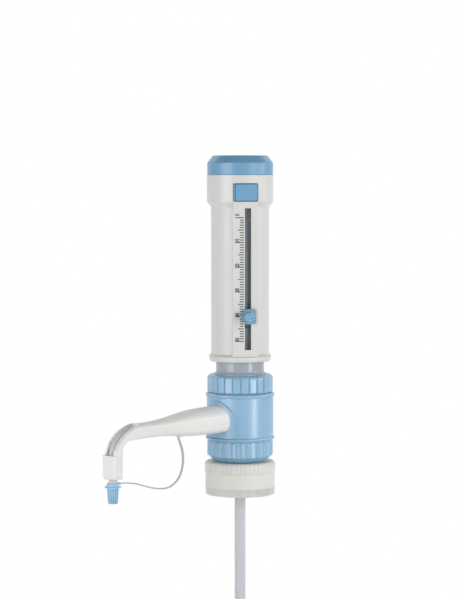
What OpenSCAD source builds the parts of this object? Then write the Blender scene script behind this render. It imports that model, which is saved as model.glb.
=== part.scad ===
// Bottle top dispenser for a 45 mm screw-neck reagent bottle.
// +Z runs up the plunger axis, the discharge arm points along -X, and the
// origin is the centre of the face that rests on the bottle's rim.

/* [Bottle nut] */
// Bore of the nut, over the crests of a 45 mm bottle thread
neck_bore_d = 45.3; // [44.5:0.1:46.5]
// Diameter of the nut's smooth middle band
nut_d = 53.6; // [52:0.1:57]
// How far the shoulder ring stands out beyond the band
nut_ring_step = 0.5; // [0.3:0.1:1]
// Height of the nut
nut_h = 25.5; // [22:0.5:30]
// Depth of the bottle's rim below the mouth of the nut
rim_depth = 19; // [16:0.5:19.5]
// Thickness of the nut's roof
nut_roof = 2.3; // [1.6:0.1:3]
// Number of notches round the shoulder ring
nut_notches = 48; // [24:2:60]
// Number of grip ribs round the mouth
nut_ribs = 90; // [48:2:110]
// Height of the grip ribs
nut_rib_h = 5.4; // [3:0.2:8]
// Thickness of the gasket on the bottle's rim
gasket_t = 1.6; // [1:0.1:1.7]

/* [Valve block] */
// Diameter of the block's casing
block_d = 51.5; // [50:0.1:56]
// Height of the casing between the two collars
block_h = 36.8; // [35:0.2:42]
// Wall of the casing
casing_wall = 5.7; // [5.2:0.1:6]
// How far each bead stands out of the casing
bead_step = 1; // [0.6:0.1:1.6]
// How far the boss behind the arm stands out
boss_step = 1.1; // [0.6:0.1:1.6]
// Half the width of the boss, and the radius of its arch
boss_r = 14.6; // [14:0.1:15.4]
// Height of the arm's bore above the bottom of the casing
port_h = 16.4; // [15.8:0.1:18]
// Bore of the flow channels
channel_d = 4; // [3:0.2:4.4]

/* [Collars] */
// Diameter over the ribs of both collars
collar_d = 50.7; // [50.4:0.1:53]
// Number of ribs round each collar
collar_ribs = 24; // [16:2:32]
// Depth of the flutes between the ribs
flute_depth = 0.9; // [0.5:0.1:1.1]
// Height of the lower collar
lower_collar_h = 16; // [14:0.5:20]
// Height of the upper collar
upper_collar_h = 14; // [14:0.2:18]
// Length of the chamfer under the lower collar
collar_chamfer = 4.6; // [2:0.2:5]

/* [Cylinder] */
// Nominal capacity in millilitres
capacity_ml = 50; // [40:1:50]
// Bore of the glass cylinder
glass_bore_d = 26; // [25.8:0.1:26.4]
// Wall of the glass cylinder
glass_wall = 2.2; // [1.8:0.1:2.3]
// Distance of the glass cylinder's end below the sleeve's end
glass_drop = 5.8; // [4:0.2:12]
// Outside diameter of the protective sleeve
sleeve_d = 37.2; // [37.2:0.1:38]
// Wall of the protective sleeve
sleeve_wall = 1.25; // [1:0.05:1.5]
// Diameter of the sleeve's foot in the collar's mouth
sleeve_foot_d = 40.1; // [39.6:0.1:40.3]
// Height of the stop ring on the sleeve
stop_ring_h = 3; // [2:0.2:3.6]

/* [Piston housing] */
// Outside diameter of the housing
housing_d = 44.8; // [44.6:0.1:46]
// Wall of the housing
housing_wall = 2.1; // [1.9:0.05:2.1]
// Diameter of the head, which is wider than the housing
head_d = 51.2; // [50.4:0.1:53]
// Height of the head between its bevel and the top cap
head_h = 20.4; // [18:0.2:23]
// Height of the bevel under the head
head_bevel_h = 4.2; // [2:0.2:6]
// Diameter of the rim round the housing's mouth
rim_d = 47.8; // [46.6:0.1:48.4]
// Height of the rim, up to the groove over it
rim_h = 4.4; // [3.6:0.1:5]
// Length of the housing from its mouth to the top cap
housing_l = 143.4; // [142:0.2:150]
// Gap between the housing's mouth and the upper collar when pressed down
mouth_gap = 10.2; // [6:0.2:11]
// Distance of the flat front panel from the axis
panel_offset = 23.65; // [23.4:0.05:24]
// Half the width of the front panel
panel_half = 9.8; // [9.4:0.1:10.4]
// Direction of the front panel, counted from the arm
panel_turn = 53.5; // [0:0.5:90]

/* [Volume setting] */
// Width of the slot in the front panel
slot_w = 5; // [4.3:0.1:5]
// Distance of the slot from the middle of the panel
slot_shift = 2; // [0:0.1:2.4]
// Volume that the pointer is set to, in millilitres
set_ml = 40; // [5:1:50]
// Distance of the zero mark below the top cap
zero_drop = 32.4; // [31.6:0.1:34]
// Height of the pointer plate
pointer_h = 11.7; // [9:0.1:13]
// Thickness of the pointer plate
pointer_t = 2.9; // [2:0.1:3.4]
// Distance of the pointer's tip from the slot's centre line
pointer_reach = 6.5; // [5:0.1:7]
// Distance of the plate's plain end from the slot's centre line
pointer_tail = 5.8; // [4.6:0.1:6.6]
// Diameter of the knob
knob_d = 7.9; // [7:0.1:9.5]
// Length of the knob
knob_l = 8.2; // [6:0.2:10]
// Diameter of the knob's screw
knob_screw_d = 2.84; // [2.4:0.02:3.2]

/* [Top cap] */
// Diameter of the top cap
cap_d = 50.7; // [50.6:0.1:53.4]
// Height of the top cap
cap_h = 15; // [12:0.2:18]
// Height of the bevel round its top
cap_bevel_h = 5.2; // [3:0.2:6.5]
// Diameter of its flat top
cap_top_d = 42; // [34:0.1:44]
// Wall of the top cap
cap_wall = 2.2; // [1.6:0.1:2.8]
// Width of the cover in the head
cover_w = 19.3; // [16:0.1:19.3]
// Height of the cover in the head
cover_h = 13.9; // [11:0.1:14.2]

/* [Plunger] */
// Diameter of the plunger's rod
rod_d = 9; // [7:0.2:10]
// Length of the plunger's head
plunger_l = 13; // [10:0.2:16]
// Gap between the plunger and the glass, on the radius
plunger_gap = 0.06; // [0.04:0.01:0.1]

/* [Arm and discharge tube] */
// Distance of the tip from the plunger axis
arm_reach = 135.3; // [125:0.1:145]
// Half the width of the arm at its root
arm_half_w = 12.4; // [11.4:0.1:12.8]
// Height of the arm above the tube's axis, at its root
arm_up = 12.6; // [11.4:0.1:12.8]
// Depth of the arm below the tube's axis, at its root
arm_down = 9.2; // [9:0.1:10]
// Radius of the bend in the tube
bend_r = 18.5; // [17:0.1:19.5]
// Outside diameter of the discharge tube
tube_d = 6.4; // [5.6:0.1:6.4]
// Outside diameter of the tube's drawn tip
tip_d = 5.6; // [4.8:0.1:5.6]
// Height of the shroud round the tube's end
shroud_h = 17.6; // [14:0.2:19]
// Half the width of the shroud
shroud_half_w = 6.8; // [5.6:0.1:7.2]
// Half the depth of the shroud
shroud_half_d = 4.9; // [4.2:0.1:5.2]
// Gap round the tube inside the arm
tube_gap = 0.3; // [0.2:0.05:0.4]
// Height of the closure cap's body
closure_h = 11.8; // [11:0.1:14]
// Diameter of the closure cap's body at its top
closure_d = 8.9; // [7.6:0.1:9]
// Diameter of the closure cap's brim
closure_brim_d = 12.4; // [12:0.1:14]
// Diameter of the cap's strap
strap_d = 1.4; // [1.2:0.1:1.6]

/* [Valves and filling tube] */
// Diameter of the inlet ball
inlet_ball_d = 5; // [4.8:0.1:5.4]
// Diameter of the outlet ball
outlet_ball_d = 4.8; // [4.6:0.1:5]
// How far each ball lifts off its seat
ball_lift = 1.2; // [0.8:0.1:1.6]
// Outside diameter of the upper filling tube
upper_tube_d = 8.4; // [8:0.1:9.4]
// Length of the upper filling tube
upper_tube_l = 119; // [100:1:140]
// Outside diameter of the lower filling tube
lower_tube_d = 5.96; // [5.6:0.02:6]
// Wall of the lower filling tube
lower_tube_wall = 1; // [0.6:0.1:1.2]
// Length of the lower filling tube
lower_tube_l = 110; // [90:1:116]
// Depth of the lower tube's end below the bottle's rim
tube_end_depth = 205; // [180:1:225]

/* [Hidden] */
$fn = 72;

play = 0.2;              // gap between pieces that are screwed or snapped together
run = 0.08;              // gap of a running fit, on the radius
cut = 1;                 // how far a cutter reaches past the face that it cuts

// Levels up the plunger axis
nut_z = -rim_depth;
nut_top = nut_z + nut_h;
roof_z = nut_top - nut_roof;
collar_z = nut_top + 0.6;
casing_z = collar_z + lower_collar_h;
port_z = casing_z + port_h;
upper_z = casing_z + block_h;
sleeve_z = upper_z + upper_collar_h;
housing_z = sleeve_z + mouth_gap;
cap_z = housing_z + housing_l;
head_z = cap_z - head_h;
bevel_z = head_z - head_bevel_h;

// Block and core
block_r = block_d / 2;
collar_r = collar_d / 2;
collar_round = 3;         // rounding round the top of the upper collar
core_r = block_r - casing_wall;
neck_r = 14.7;            // core's neck through the nut's roof
neck_flange_r = 20.6;     // flange that the nut pulls down
neck_flange_z = gasket_t + 0.3;
core_shank_r = 18;
bead_h = 2.6;
bead_in = 1.8;            // middle of each bead from the end of the casing
casing_neck_h = 6.3;
casing_neck_r = core_r + 2.9;
cup_z = upper_z - 8.6;    // floor of the cup that holds the glass
core_top = upper_z + 1.9;
seal_t = 1.2;

// Cylinder and sleeve
ring_gap = 0.3;           // gap between the stop ring and the housing
glass_r = glass_bore_d / 2;
glass_out_r = glass_r + glass_wall;
glass_z = cup_z + seal_t;
sleeve_r = sleeve_d / 2;
sleeve_in_r = sleeve_r - sleeve_wall;
sleeve_foot_r = sleeve_foot_d / 2;
flange_z = upper_z + casing_neck_h;
flange_t = 2;
flange_r = casing_neck_r - 0.7;

// Stroke and setting
stroke = 1000 * capacity_ml / (PI * glass_r * glass_r);
zero_z = cap_z - zero_drop;
pointer_z = zero_z - stroke * set_ml / capacity_ml;
clamp_drop = 6;           // the clamp nut's middle lies this far below the pointer
clamp_h = 6;
stop_z = zero_z - clamp_drop + clamp_h / 2 + play;
sleeve_top = stop_z + stop_ring_h;
glass_l = sleeve_top - glass_drop - glass_z;
stop_step = 0.5;          // the ring sits on a shoulder turned into the sleeve

// Housing
housing_r = housing_d / 2;
housing_in_r = housing_r - housing_wall;
head_r = head_d / 2;
floor_t = 3;
groove_z = housing_z + rim_h;
groove_depth = 0.5;
rim_flare_h = 1.6;        // the housing widens to the rim over this height
floor_z = head_z + 0.8;
head_in_r = head_r - 2.8;
track_out = panel_offset - 1.75;   // the clamp nut's track is sunk into the panel
track_half = 4.5;
slot_bottom = zero_z - stroke - 6.8;
slot_top = zero_z + 7.1;
cover_z = head_z + 0.1;
cover_seat = panel_offset - 2.1;
tooth_pitch = stroke / capacity_ml;
rack_t = 0.8;

// Arm and tube
tube_r = tube_d / 2;
bend_x = -arm_reach + bend_r;
bend_z = port_z - bend_r;
shroud_top = bend_z + 1.8;
shroud_z = shroud_top - shroud_h;
boss_face = block_r + boss_step;
valve_r = 6;
valve_flange_r = 8.3;
valve_seat_x = 17;
valve_in_x = 13;
valve_flange_x = 19.2;
valve_neck_x = 35;
valve_neck_r = 5;
spring_room = 12;
coupling_r = 8.2;
coupling_l = 9;
arm_cavity_r = 8.8;
arm_cavity_x = 39;
arm_start_x = 20;
neck_up = 4.5;            // arm above and below the tube's axis, ahead of the bend
neck_down = 6.5;
trough_r = tube_r + tube_gap - 0.1;
trough_lead = 2;          // how far ahead of the bend the trough opens

// Closure cap
closure_top = shroud_z - 3.2;
closure_z = closure_top - 3.1;     // underside of its brim
tip_l = 9;                         // length of the tip inside the cap
tip_z = closure_top - tip_l;
socket_r = tip_d / 2 + run;
ear_x = 7.5;
ear_z = closure_top - 0.5;

// Filling side
nozzle_r = lower_tube_d / 2;
hex_r = 8;
hex_h = 5.2;
valve_top = 13.9;
inlet_seat_z = 8;
nozzle_end = -24;
upper_tube_z = neck_flange_z - hex_h - seal_t;
tube_end_z = -tube_end_depth;

// Strap pin, pushed into the underside of the arm
pin_x = 67;
pin_r = 1.6;
pin_flange_r = 2.2;
pin_flange_t = 1.2;
pin_l = 3.9;
pin_drop = 5.2;           // top of the pin, below the axis of the port
pin_top = port_z - pin_drop;
pin_low = pin_top - pin_l;
strap_gap = 0.05;

// Route of the strap, from the closure cap's ear to the pin under the arm
strap_points = [[-127.8, 0, 1.4], [-124, 0, 1.2], [-118, 0, 0.6], [-111, 0, -0.8],
    [-104, 0, -2.8], [-97, 0, -4.8], [-90, 0, -6.3], [-83, 0, -7], [-77, 0, -6.4],
    [-71, 0, -3.8], [-66.5, 0, 0], [-63.5, 0, 6], [-62.5, 0, 13], [-63.5, 0, 20],
    [-66, 0, 26], [-67, 0, 28], [-67, 0, 29.5]];

// ---------- shared functions and shapes ----------

function arc(cx, cy, r, from, to, n) =
    [for (i = [0:n]) let (a = from + (to - from) * i / n) [cx + r * cos(a), cy + r * sin(a)]];

// Outline of a round grip: broad ribs with a narrow groove between each two
function ribbed(r, depth, n) = [for (i = [0:n - 1], k = [[0, 1], [0.09, 0.3], [0.15, 0], [0.5, 0],
        [0.85, 0], [0.91, 0.3]])
    let (a = 360 * (i + k[0]) / n) (r - depth * k[1]) * [cos(a), sin(a)]];

// Outline of a round grip: narrow ridges with a hollow flute between each two
function fluted(r, depth, n) = [for (i = [0:n - 1], k = [[0, 0], [0.12, 0], [0.24, 0.7], [0.42, 1],
        [0.7, 1], [0.88, 0.7]])
    let (a = 360 * (i + k[0]) / n) (r - depth * k[1]) * [cos(a), sin(a)]];

// Outline of fine teeth with flat tips
function toothed(r, depth, n) = [for (i = [0:n - 1], k = [[0, 0], [0.4, 0], [0.55, 1], [0.85, 1]])
    let (a = 360 * (i + k[0]) / n) (r - depth * k[1]) * [cos(a), sin(a)]];

// Skin over rings of points: each ring joins the next, and both ends are closed
module skin(rings) {
    n = len(rings[0]);
    m = len(rings);
    points = [for (ring = rings) for (p = ring) p];
    sides = [for (j = [0:m - 2], i = [0:n - 1]) let (k = (i + 1) % n)
        each [[j * n + i, j * n + k, (j + 1) * n + k], [j * n + i, (j + 1) * n + k, (j + 1) * n + i]]];
    low = [for (i = [n - 1:-1:0]) i];
    high = [for (i = [0:n - 1]) (m - 1) * n + i];
    polyhedron(points, concat(sides, [low], [high]));
}

// Smooth curve through a list of points, cut into n steps between each two
function blend4(a, b, c, d, t) = 0.5 * ((2 * b) + (c - a) * t + (2 * a - 5 * b + 4 * c - d) * t * t
    + (3 * b - a - 3 * c + d) * t * t * t);
function smooth_path(p, n) = let (m = len(p) - 1)
    concat([for (i = [0:m - 1], k = [0:n - 1])
        blend4(p[max(i - 1, 0)], p[i], p[i + 1], p[min(i + 2, m)], k / n)], [p[m]]);

// Rings of a round cord along a path that stays in the plane of the arm
function cord_rings(p, r, sides) = [for (i = [0:len(p) - 1])
    let (d = p[min(i + 1, len(p) - 1)] - p[max(i - 1, 0)], t = d / norm(d))
    [for (k = [0:sides - 1]) let (a = 360 * k / sides)
        p[i] + r * (cos(a) * [0, 1, 0] + sin(a) * [-t[2], 0, t[0]])]];

module ring(r_out, r_in, z, h) {
    translate([0, 0, z]) difference() {
        cylinder(r = r_out, h = h);
        translate([0, 0, -cut]) cylinder(r = r_in, h = h + 2 * cut);
    }
}

// Round bar along -X, from x = -from to x = -to, at the height of the arm's port
module bar(r, from, to) {
    translate([-from, 0, port_z]) rotate([0, -90, 0]) cylinder(r = r, h = to - from);
}

// Places a child in the panel's own frame: X to its right, Y away from it, Z up.
// A point at [t, -p, z] lies p in front of the axis.
module on_panel() {
    rotate([0, 0, panel_turn - 90]) children();
}

module panel_box(t0, t1, p0, p1, z0, z1) {
    translate([t0, -p1, z0]) cube([t1 - t0, p1 - p0, z1 - z0]);
}

// ---------- bottle nut ----------

module bottle_nut() color("ivory") difference() {
    nut_r = nut_d / 2;
    ring_r = nut_r + nut_ring_step;
    band_z = nut_z + nut_rib_h;
    ring_z = roof_z - 6;
    round_r = 2.4;
    union() {
        rotate_extrude() polygon([[0, nut_z], [nut_r - 0.8, nut_z], [nut_r - 0.6, band_z],
            [nut_r, band_z + 0.4], [nut_r, ring_z], [nut_r - 1, ring_z + 1],
            [nut_r - 1, nut_top - 1.4], [nut_r - 2.4, nut_top], [0, nut_top]]);
        translate([0, 0, nut_z + 0.4]) linear_extrude(nut_rib_h - 0.4)
            polygon(toothed(nut_r - 0.05, 0.6, nut_ribs));
        intersection() {
            rotate_extrude() polygon(concat([[0, ring_z], [nut_r - 0.2, ring_z], [ring_r, ring_z + 0.8]],
                arc(ring_r - round_r, nut_top - round_r, round_r, 0, 90, 6), [[0, nut_top]]));
            translate([0, 0, ring_z]) linear_extrude(nut_h)
                polygon(ribbed(ring_r, 0.45, nut_notches));
        }
    }
    translate([0, 0, nut_z - cut]) cylinder(d = neck_bore_d, h = roof_z - nut_z + cut);
    translate([0, 0, nut_z - cut]) cylinder(r = neck_r + 0.3, h = nut_h + 2 * cut);
    // lead-in to the thread
    translate([0, 0, nut_z - 0.01]) cylinder(d1 = neck_bore_d + 1.6, d2 = neck_bore_d, h = 0.8);
}

module rim_gasket() color("whitesmoke")
    ring(neck_bore_d / 2 - 0.05, 14.5, 0, gasket_t);

// ---------- valve block ----------

module block_core() color("white") difference() {
    union() {
        translate([0, 0, neck_flange_z]) cylinder(r = neck_flange_r, h = roof_z - neck_flange_z - play);
        translate([0, 0, neck_flange_z]) cylinder(r = neck_r, h = collar_z - neck_flange_z + 1);
        translate([0, 0, collar_z + 0.5]) cylinder(r = core_shank_r, h = casing_z - collar_z);
        translate([0, 0, casing_z]) cylinder(r = core_r - play, h = core_top - casing_z);
    }
    // seat of the filling valve, channel up to the cylinder, cup for the glass
    translate([0, 0, neck_flange_z - cut]) cylinder(r = valve_r + 0.05, h = valve_top - neck_flange_z + cut);
    cylinder(d = channel_d, h = cup_z + cut);
    translate([0, 0, cup_z]) cylinder(r = glass_out_r + 0.15, h = core_top - cup_z + cut);
    // seat of the discharge valve and its channel
    bar(channel_d / 2, 0, valve_in_x);
    bar(valve_r + 0.05, valve_in_x, block_r);
    bar(valve_flange_r + play, valve_flange_x - seal_t, block_r);
}

module casing_profile() {
    top = upper_z;
    bead = [for (z = [casing_z + bead_in, top - bead_in])
        [[block_r, z - bead_h / 2], [block_r + bead_step * 0.8, z - bead_h * 0.3],
         [block_r + bead_step, z], [block_r + bead_step * 0.8, z + bead_h * 0.3], [block_r, z + bead_h / 2]]];
    polygon(concat([[core_r, casing_z], [block_r - 0.4, casing_z], [block_r, casing_z + 0.4]],
        bead[0], bead[1],
        [[block_r, top - 0.4], [block_r - 0.4, top], [casing_neck_r, top],
         [casing_neck_r, top + casing_neck_h], [core_r, top + casing_neck_h]]));
}

module valve_block() color("skyblue") difference() {
    foot = casing_z + bead_in + bead_h / 2;
    union() {
        rotate_extrude() casing_profile();
        // raised boss behind the arm, arched at the top
        intersection() {
            translate([0, 0, foot]) cylinder(r = boss_face, h = upper_z - bead_in - bead_h - foot);
            translate([-block_r - 2 * cut, 0, 0]) rotate([90, 0, 90]) linear_extrude(block_r)
                polygon(concat([[-boss_r, foot - cut], [boss_r, foot - cut]],
                    arc(0, port_z, boss_r, 0, 180, 24)));
            ring(block_r + 2 * cut, core_r + cut, casing_z, block_h);
        }
    }
    bar(valve_flange_r + play, 0, block_r + 2 * cut);
}

module collar_bore(z, h) {
    translate([0, 0, z]) cylinder(r = core_shank_r + play, h = h);
}

module lower_collar() color("skyblue") difference() {
    edge_r = collar_r - collar_chamfer - 0.2;
    intersection() {
        translate([0, 0, collar_z]) linear_extrude(lower_collar_h)
            polygon(fluted(collar_r, flute_depth, collar_ribs));
        rotate_extrude() polygon(concat([[0, collar_z], [edge_r - 0.8, collar_z]],
            arc(edge_r - 0.8, collar_z + 0.8, 0.8, -90, -45, 3),
            [[collar_r, collar_z + collar_chamfer], [collar_r, casing_z - 1.2],
             [collar_r - flute_depth - 0.2, casing_z], [0, casing_z]]));
    }
    collar_bore(collar_z - cut, lower_collar_h + 2 * cut);
}

module upper_collar() color("skyblue") difference() {
    intersection() {
        translate([0, 0, upper_z]) linear_extrude(upper_collar_h)
            polygon(ribbed(collar_r, flute_depth, collar_ribs));
        rotate_extrude() polygon(concat([[0, upper_z], [collar_r - 1.2, upper_z],
            [collar_r, upper_z + 1.1]],
            arc(collar_r - collar_round, sleeve_z - collar_round, collar_round, 0, 90, 7),
            [[0, sleeve_z]]));
    }
    translate([0, 0, upper_z - cut]) cylinder(r = casing_neck_r + play, h = flange_z + flange_t - upper_z + cut);
    translate([0, 0, upper_z]) cylinder(r = sleeve_foot_r + play, h = upper_collar_h + cut);
}

// ---------- cylinder ----------

module cylinder_seal() color("dimgray")
    ring(glass_out_r, glass_r - 0.4, cup_z, seal_t);

module glass_cylinder() color([0.8, 0.9, 0.95, 0.4])
    rotate_extrude() polygon([[glass_r, glass_z], [glass_out_r, glass_z],
        [glass_out_r, glass_z + glass_l - 0.6], [glass_out_r - 0.6, glass_z + glass_l],
        [glass_r + 0.6, glass_z + glass_l], [glass_r, glass_z + glass_l - 0.6]]);

module centring_ring() color("white")
    ring(sleeve_in_r - 0.05, glass_out_r + 0.05, glass_z + glass_l - 6, 4);

module protective_sleeve() color([0.6, 0.66, 0.72, 0.5]) rotate_extrude() polygon([
    [sleeve_in_r, core_top + 0.3], [core_r - play, core_top + 0.3], [core_r - play, flange_z],
    [flange_r, flange_z], [flange_r, flange_z + flange_t], [sleeve_foot_r, flange_z + flange_t],
    [sleeve_foot_r, sleeve_z + 0.8], [sleeve_r + 0.3, sleeve_z + 2], [sleeve_r, sleeve_z + 2.8],
    [sleeve_r, stop_z], [sleeve_r - stop_step, stop_z], [sleeve_r - stop_step, sleeve_top],
    [sleeve_in_r, sleeve_top]]);

// The gate lets the clamp nut past the ring when the housing is put on
module stop_ring() color("gray") difference() {
    ring(housing_in_r - ring_gap, sleeve_r - stop_step + 0.05, stop_z, stop_ring_h);
    on_panel() panel_box(slot_shift - track_half, slot_shift + track_half,
        sleeve_r - stop_step + 0.4, housing_r, stop_z - cut, sleeve_top + cut);
}

// ---------- filling side ----------

module filling_valve() color("white") difference() {
    union() {
        translate([0, 0, upper_tube_z]) cylinder(r = hex_r, h = hex_h, $fn = 6);
        translate([0, 0, upper_tube_z]) cylinder(r = valve_r, h = valve_top - upper_tube_z - 0.1);
        translate([0, 0, nozzle_end]) cylinder(r = nozzle_r, h = upper_tube_z - nozzle_end + cut);
        for (i = [0:2]) translate([0, 0, nozzle_end + 2 + 4 * i])
            cylinder(r1 = nozzle_r - 0.3, r2 = nozzle_r + 0.06, h = 2);
    }
    seat = inlet_seat_z;
    room = inlet_ball_d / 2 + sqrt(pow(inlet_ball_d, 2) - pow(channel_d, 2)) / 2 + ball_lift + 0.1;
    translate([0, 0, nozzle_end - cut]) cylinder(d = channel_d, h = seat - nozzle_end + cut + 0.01);
    translate([0, 0, seat]) cylinder(d = inlet_ball_d + 1.6, h = room);
    // four windows that let liquid past the lifted ball
    for (i = [0:3]) rotate([0, 0, 45 + 90 * i]) translate([0.9, -0.7, seat + room - cut])
        cube([2.3, 1.4, valve_top - seat]);
    cylinder(d = 2, h = valve_top + cut);
}

module filling_valve_seal() color("dimgray")
    ring(hex_r - 1.2, valve_r + 0.05, neck_flange_z - seal_t, seal_t);

module inlet_ball() color("lightcyan")
    translate([0, 0, inlet_seat_z + 0.02 + sqrt(pow(inlet_ball_d, 2) - pow(channel_d, 2)) / 2])
        sphere(d = inlet_ball_d);

module filling_tube_upper() color([0.9, 0.93, 0.95, 0.6])
    ring(upper_tube_d / 2, nozzle_r + run, upper_tube_z - upper_tube_l, upper_tube_l);

module filling_tube_lower() color([0.9, 0.93, 0.95, 0.6]) difference() {
    ring(lower_tube_d / 2, lower_tube_d / 2 - lower_tube_wall, tube_end_z, lower_tube_l);
    // slanted end, so that it can't seal itself on the bottle's floor
    translate([-lower_tube_d / 2, 0, tube_end_z]) rotate([0, -45, 0])
        translate([0, -lower_tube_d, -2 * lower_tube_d])
            cube([4 * lower_tube_d, 2 * lower_tube_d, 2 * lower_tube_d]);
}

// ---------- discharge side ----------

module discharge_valve() color("white") difference() {
    union() {
        bar(valve_r, valve_in_x + 0.1, valve_flange_x + cut);
        bar(valve_flange_r, valve_flange_x, block_r - 2);
        bar(valve_neck_r, valve_flange_x, valve_neck_x);
    }
    bar(channel_d / 2, 0, valve_neck_x + cut);
    bar(outlet_ball_d / 2 + 0.5, valve_seat_x, valve_seat_x + spring_room);
}

module discharge_valve_seal() color("dimgray") difference() {
    bar(valve_flange_r - 0.5, valve_flange_x - seal_t, valve_flange_x);
    bar(valve_r + 0.05, valve_in_x, valve_flange_x + cut);
}

outlet_ball_x = valve_seat_x + 0.02 + sqrt(pow(outlet_ball_d, 2) - pow(channel_d, 2)) / 2;

module outlet_ball() color("lightcyan")
    translate([-outlet_ball_x, 0, port_z]) sphere(d = outlet_ball_d);

module outlet_spring() color("silver") {
    coil_r = outlet_ball_d / 2 - 0.1;
    wire_r = 0.25;
    turns = 6;
    steps = 14;
    from = outlet_ball_x + outlet_ball_d / 2 + wire_r + 0.1;
    to = valve_seat_x + spring_room - wire_r - 0.05;
    rings = [for (i = [0:turns * steps]) let (a = 360 * i / steps, x = from + (to - from) * i / (turns * steps))
        [for (k = [0:5]) let (b = 60 * k, r = coil_r + wire_r * cos(b))
            [-x - wire_r * sin(b), r * cos(a), port_z + r * sin(a)]]];
    skin(rings);
}

module arm_coupling_nut() color("white") difference() {
    bar(coupling_r, valve_neck_x - coupling_l, valve_neck_x + 2.6);
    bar(valve_neck_r + 0.1, valve_flange_x, valve_neck_x);
    bar(tube_r + 0.05, 0, valve_neck_x + 2 * coupling_l);
}

// One section of the arm: half width, reach outwards, reach inwards, and how
// square its outer and inner halves are. It stands at [x, z] and leans by turn.
function arm_section(s) = let (f = s[2], n = 28) [for (i = [0:n - 1])
    let (a = 360 * i / n, q = sin(a) > 0 ? s[6] : s[7], c = cos(a), d = sin(a),
        w = s[3] * sign(c) * pow(abs(c), 2 / q),
        h = (d > 0 ? s[4] : s[5]) * sign(d) * pow(abs(d), 2 / q))
    [s[0] - h * sin(f), w, s[1] + h * cos(f)]];

// Sections round the bend, each at its own angle
function bend_section(turn, up, down) =
    [bend_x - bend_r * sin(turn), bend_z + bend_r * cos(turn), turn, shroud_half_w, up, down, 4, 4];

// A section between the root and the bend, by its share of the way there and
// of the root's extra width, rise and depth
function neck_section(f, kw, ku, kd, outer, inner) =
    [-arm_start_x + f * (bend_x + arm_start_x), port_z, 0,
     shroud_half_w + kw * (arm_half_w - shroud_half_w), neck_up + ku * (arm_up - neck_up),
     neck_down + kd * (arm_down - neck_down), outer, inner];

function arm_sections() = let (x = -arm_reach, w = shroud_half_w, d = shroud_half_d) [
    neck_section(0, 1, 1, 1, 2.2, 2.9),
    neck_section(0.23, 0.92, 0.84, 1, 2.2, 2.9),
    neck_section(0.33, 0.84, 0.78, 0.96, 2.3, 2.9),
    neck_section(0.41, 0.75, 0.68, 0.89, 2.4, 2.9),
    neck_section(0.5, 0.61, 0.5, 0.67, 2.5, 2.9),
    neck_section(0.61, 0.38, 0.27, 0.19, 2.6, 3),
    neck_section(0.72, 0.19, 0.11, 0, 2.8, 3.2),
    neck_section(0.83, 0.06, 0.03, 0, 3, 3.5),
    neck_section(0.91, 0, 0, 0, 3.4, 4),
    [bend_x, port_z, 0, w, neck_up - 0.5, neck_down + 0.4, 3.6, 4],
    bend_section(10, 2.8, 6.8),
    bend_section(20, 2.1, 6.4),
    bend_section(30, 1.8, 5.6),
    bend_section(40, 1.7, d),
    bend_section(60, 2.1, d - 1),
    bend_section(75, 2.8, d - 0.4),
    [x, shroud_top + 0.15, 90, w, 3.3, d, 4, 4.5],
    [x, shroud_top, 90, w, d, d, 6, 6],
    [x, shroud_z + 1.2, 90, w, d, d, 6, 6],
    [x, shroud_z, 90, w - 0.9, d - 0.8, d - 0.8, 6, 6]];

module tube_route(r) {
    bar(r, valve_neck_x, -bend_x);
    translate([bend_x, 0, bend_z]) rotate([90, 0, 0])
        rotate_extrude(angle = 90, start = 90) translate([bend_r, 0]) circle(r = r);
    translate([-arm_reach, 0, closure_top]) cylinder(r = r, h = bend_z - closure_top);
}

module arm() color("whitesmoke") difference() {
    skin([for (s = arm_sections()) arm_section(s)]);
    translate([0, 0, casing_z]) cylinder(r = boss_face + 0.05, h = block_h);
    bar(arm_cavity_r, arm_start_x - cut, arm_cavity_x);
    // notch for a key that unlocks the arm
    translate([-boss_face - 2.4, -arm_half_w, port_z - arm_down]) cube([4, arm_half_w, 1.6]);
    tube_route(tube_r + tube_gap);
    // open trough that shows the tube, from ahead of the bend down to the shroud
    translate([bend_x, -trough_r, port_z]) cube([trough_lead, 2 * trough_r, bend_r]);
    translate([bend_x + trough_lead, 0, port_z]) cylinder(r = trough_r, h = bend_r);
    translate([bend_x, 0, bend_z]) rotate([90, 0, 0])
        rotate_extrude(angle = 90 - asin((shroud_top - bend_z) / bend_r), start = 90)
            translate([bend_r, -trough_r]) square([bend_r / 2, 2 * trough_r]);
    translate([-pin_x, 0, pin_low]) cylinder(r = pin_r + 0.05, h = pin_top - pin_low + 0.1);
    translate([-pin_x, 0, pin_low - cut]) cylinder(r = pin_flange_r + 0.05, h = pin_flange_t + cut);
}

module discharge_tube() color([0.75, 0.77, 0.78, 0.6]) {
    difference() {
        union() {
            tube_route(tube_r);
            translate([-arm_reach, 0, tip_z]) cylinder(d = tip_d, h = closure_top - tip_z + cut);
        }
        bar(channel_d / 2, valve_neck_x - cut, -bend_x);
        translate([bend_x, 0, bend_z]) rotate([90, 0, 0])
            rotate_extrude(angle = 90, start = 90) translate([bend_r, 0]) circle(d = channel_d);
        translate([-arm_reach, 0, tip_z - cut]) cylinder(d = channel_d, h = bend_z - tip_z + cut);
    }
}

module strap_pin() color("lightsteelblue") translate([-pin_x, 0, pin_low]) {
    cylinder(r = pin_r, h = pin_top - pin_low);
    cylinder(r = pin_flange_r, h = pin_flange_t);
}

// The route keeps its shape between the ear and the pin, wherever they lie
module cap_strap() color("lightsteelblue") {
    n = len(strap_points) - 1;
    to_ear = [ear_x - arm_reach, 0, ear_z] - strap_points[0];
    to_pin = [-pin_x, 0, pin_low - strap_gap] - strap_points[n];
    route = [for (i = [0:n]) strap_points[i] + to_ear * (n - i) / n + to_pin * i / n];
    skin(cord_rings(smooth_path(route, 2), strap_d / 2, 8));
}

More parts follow.
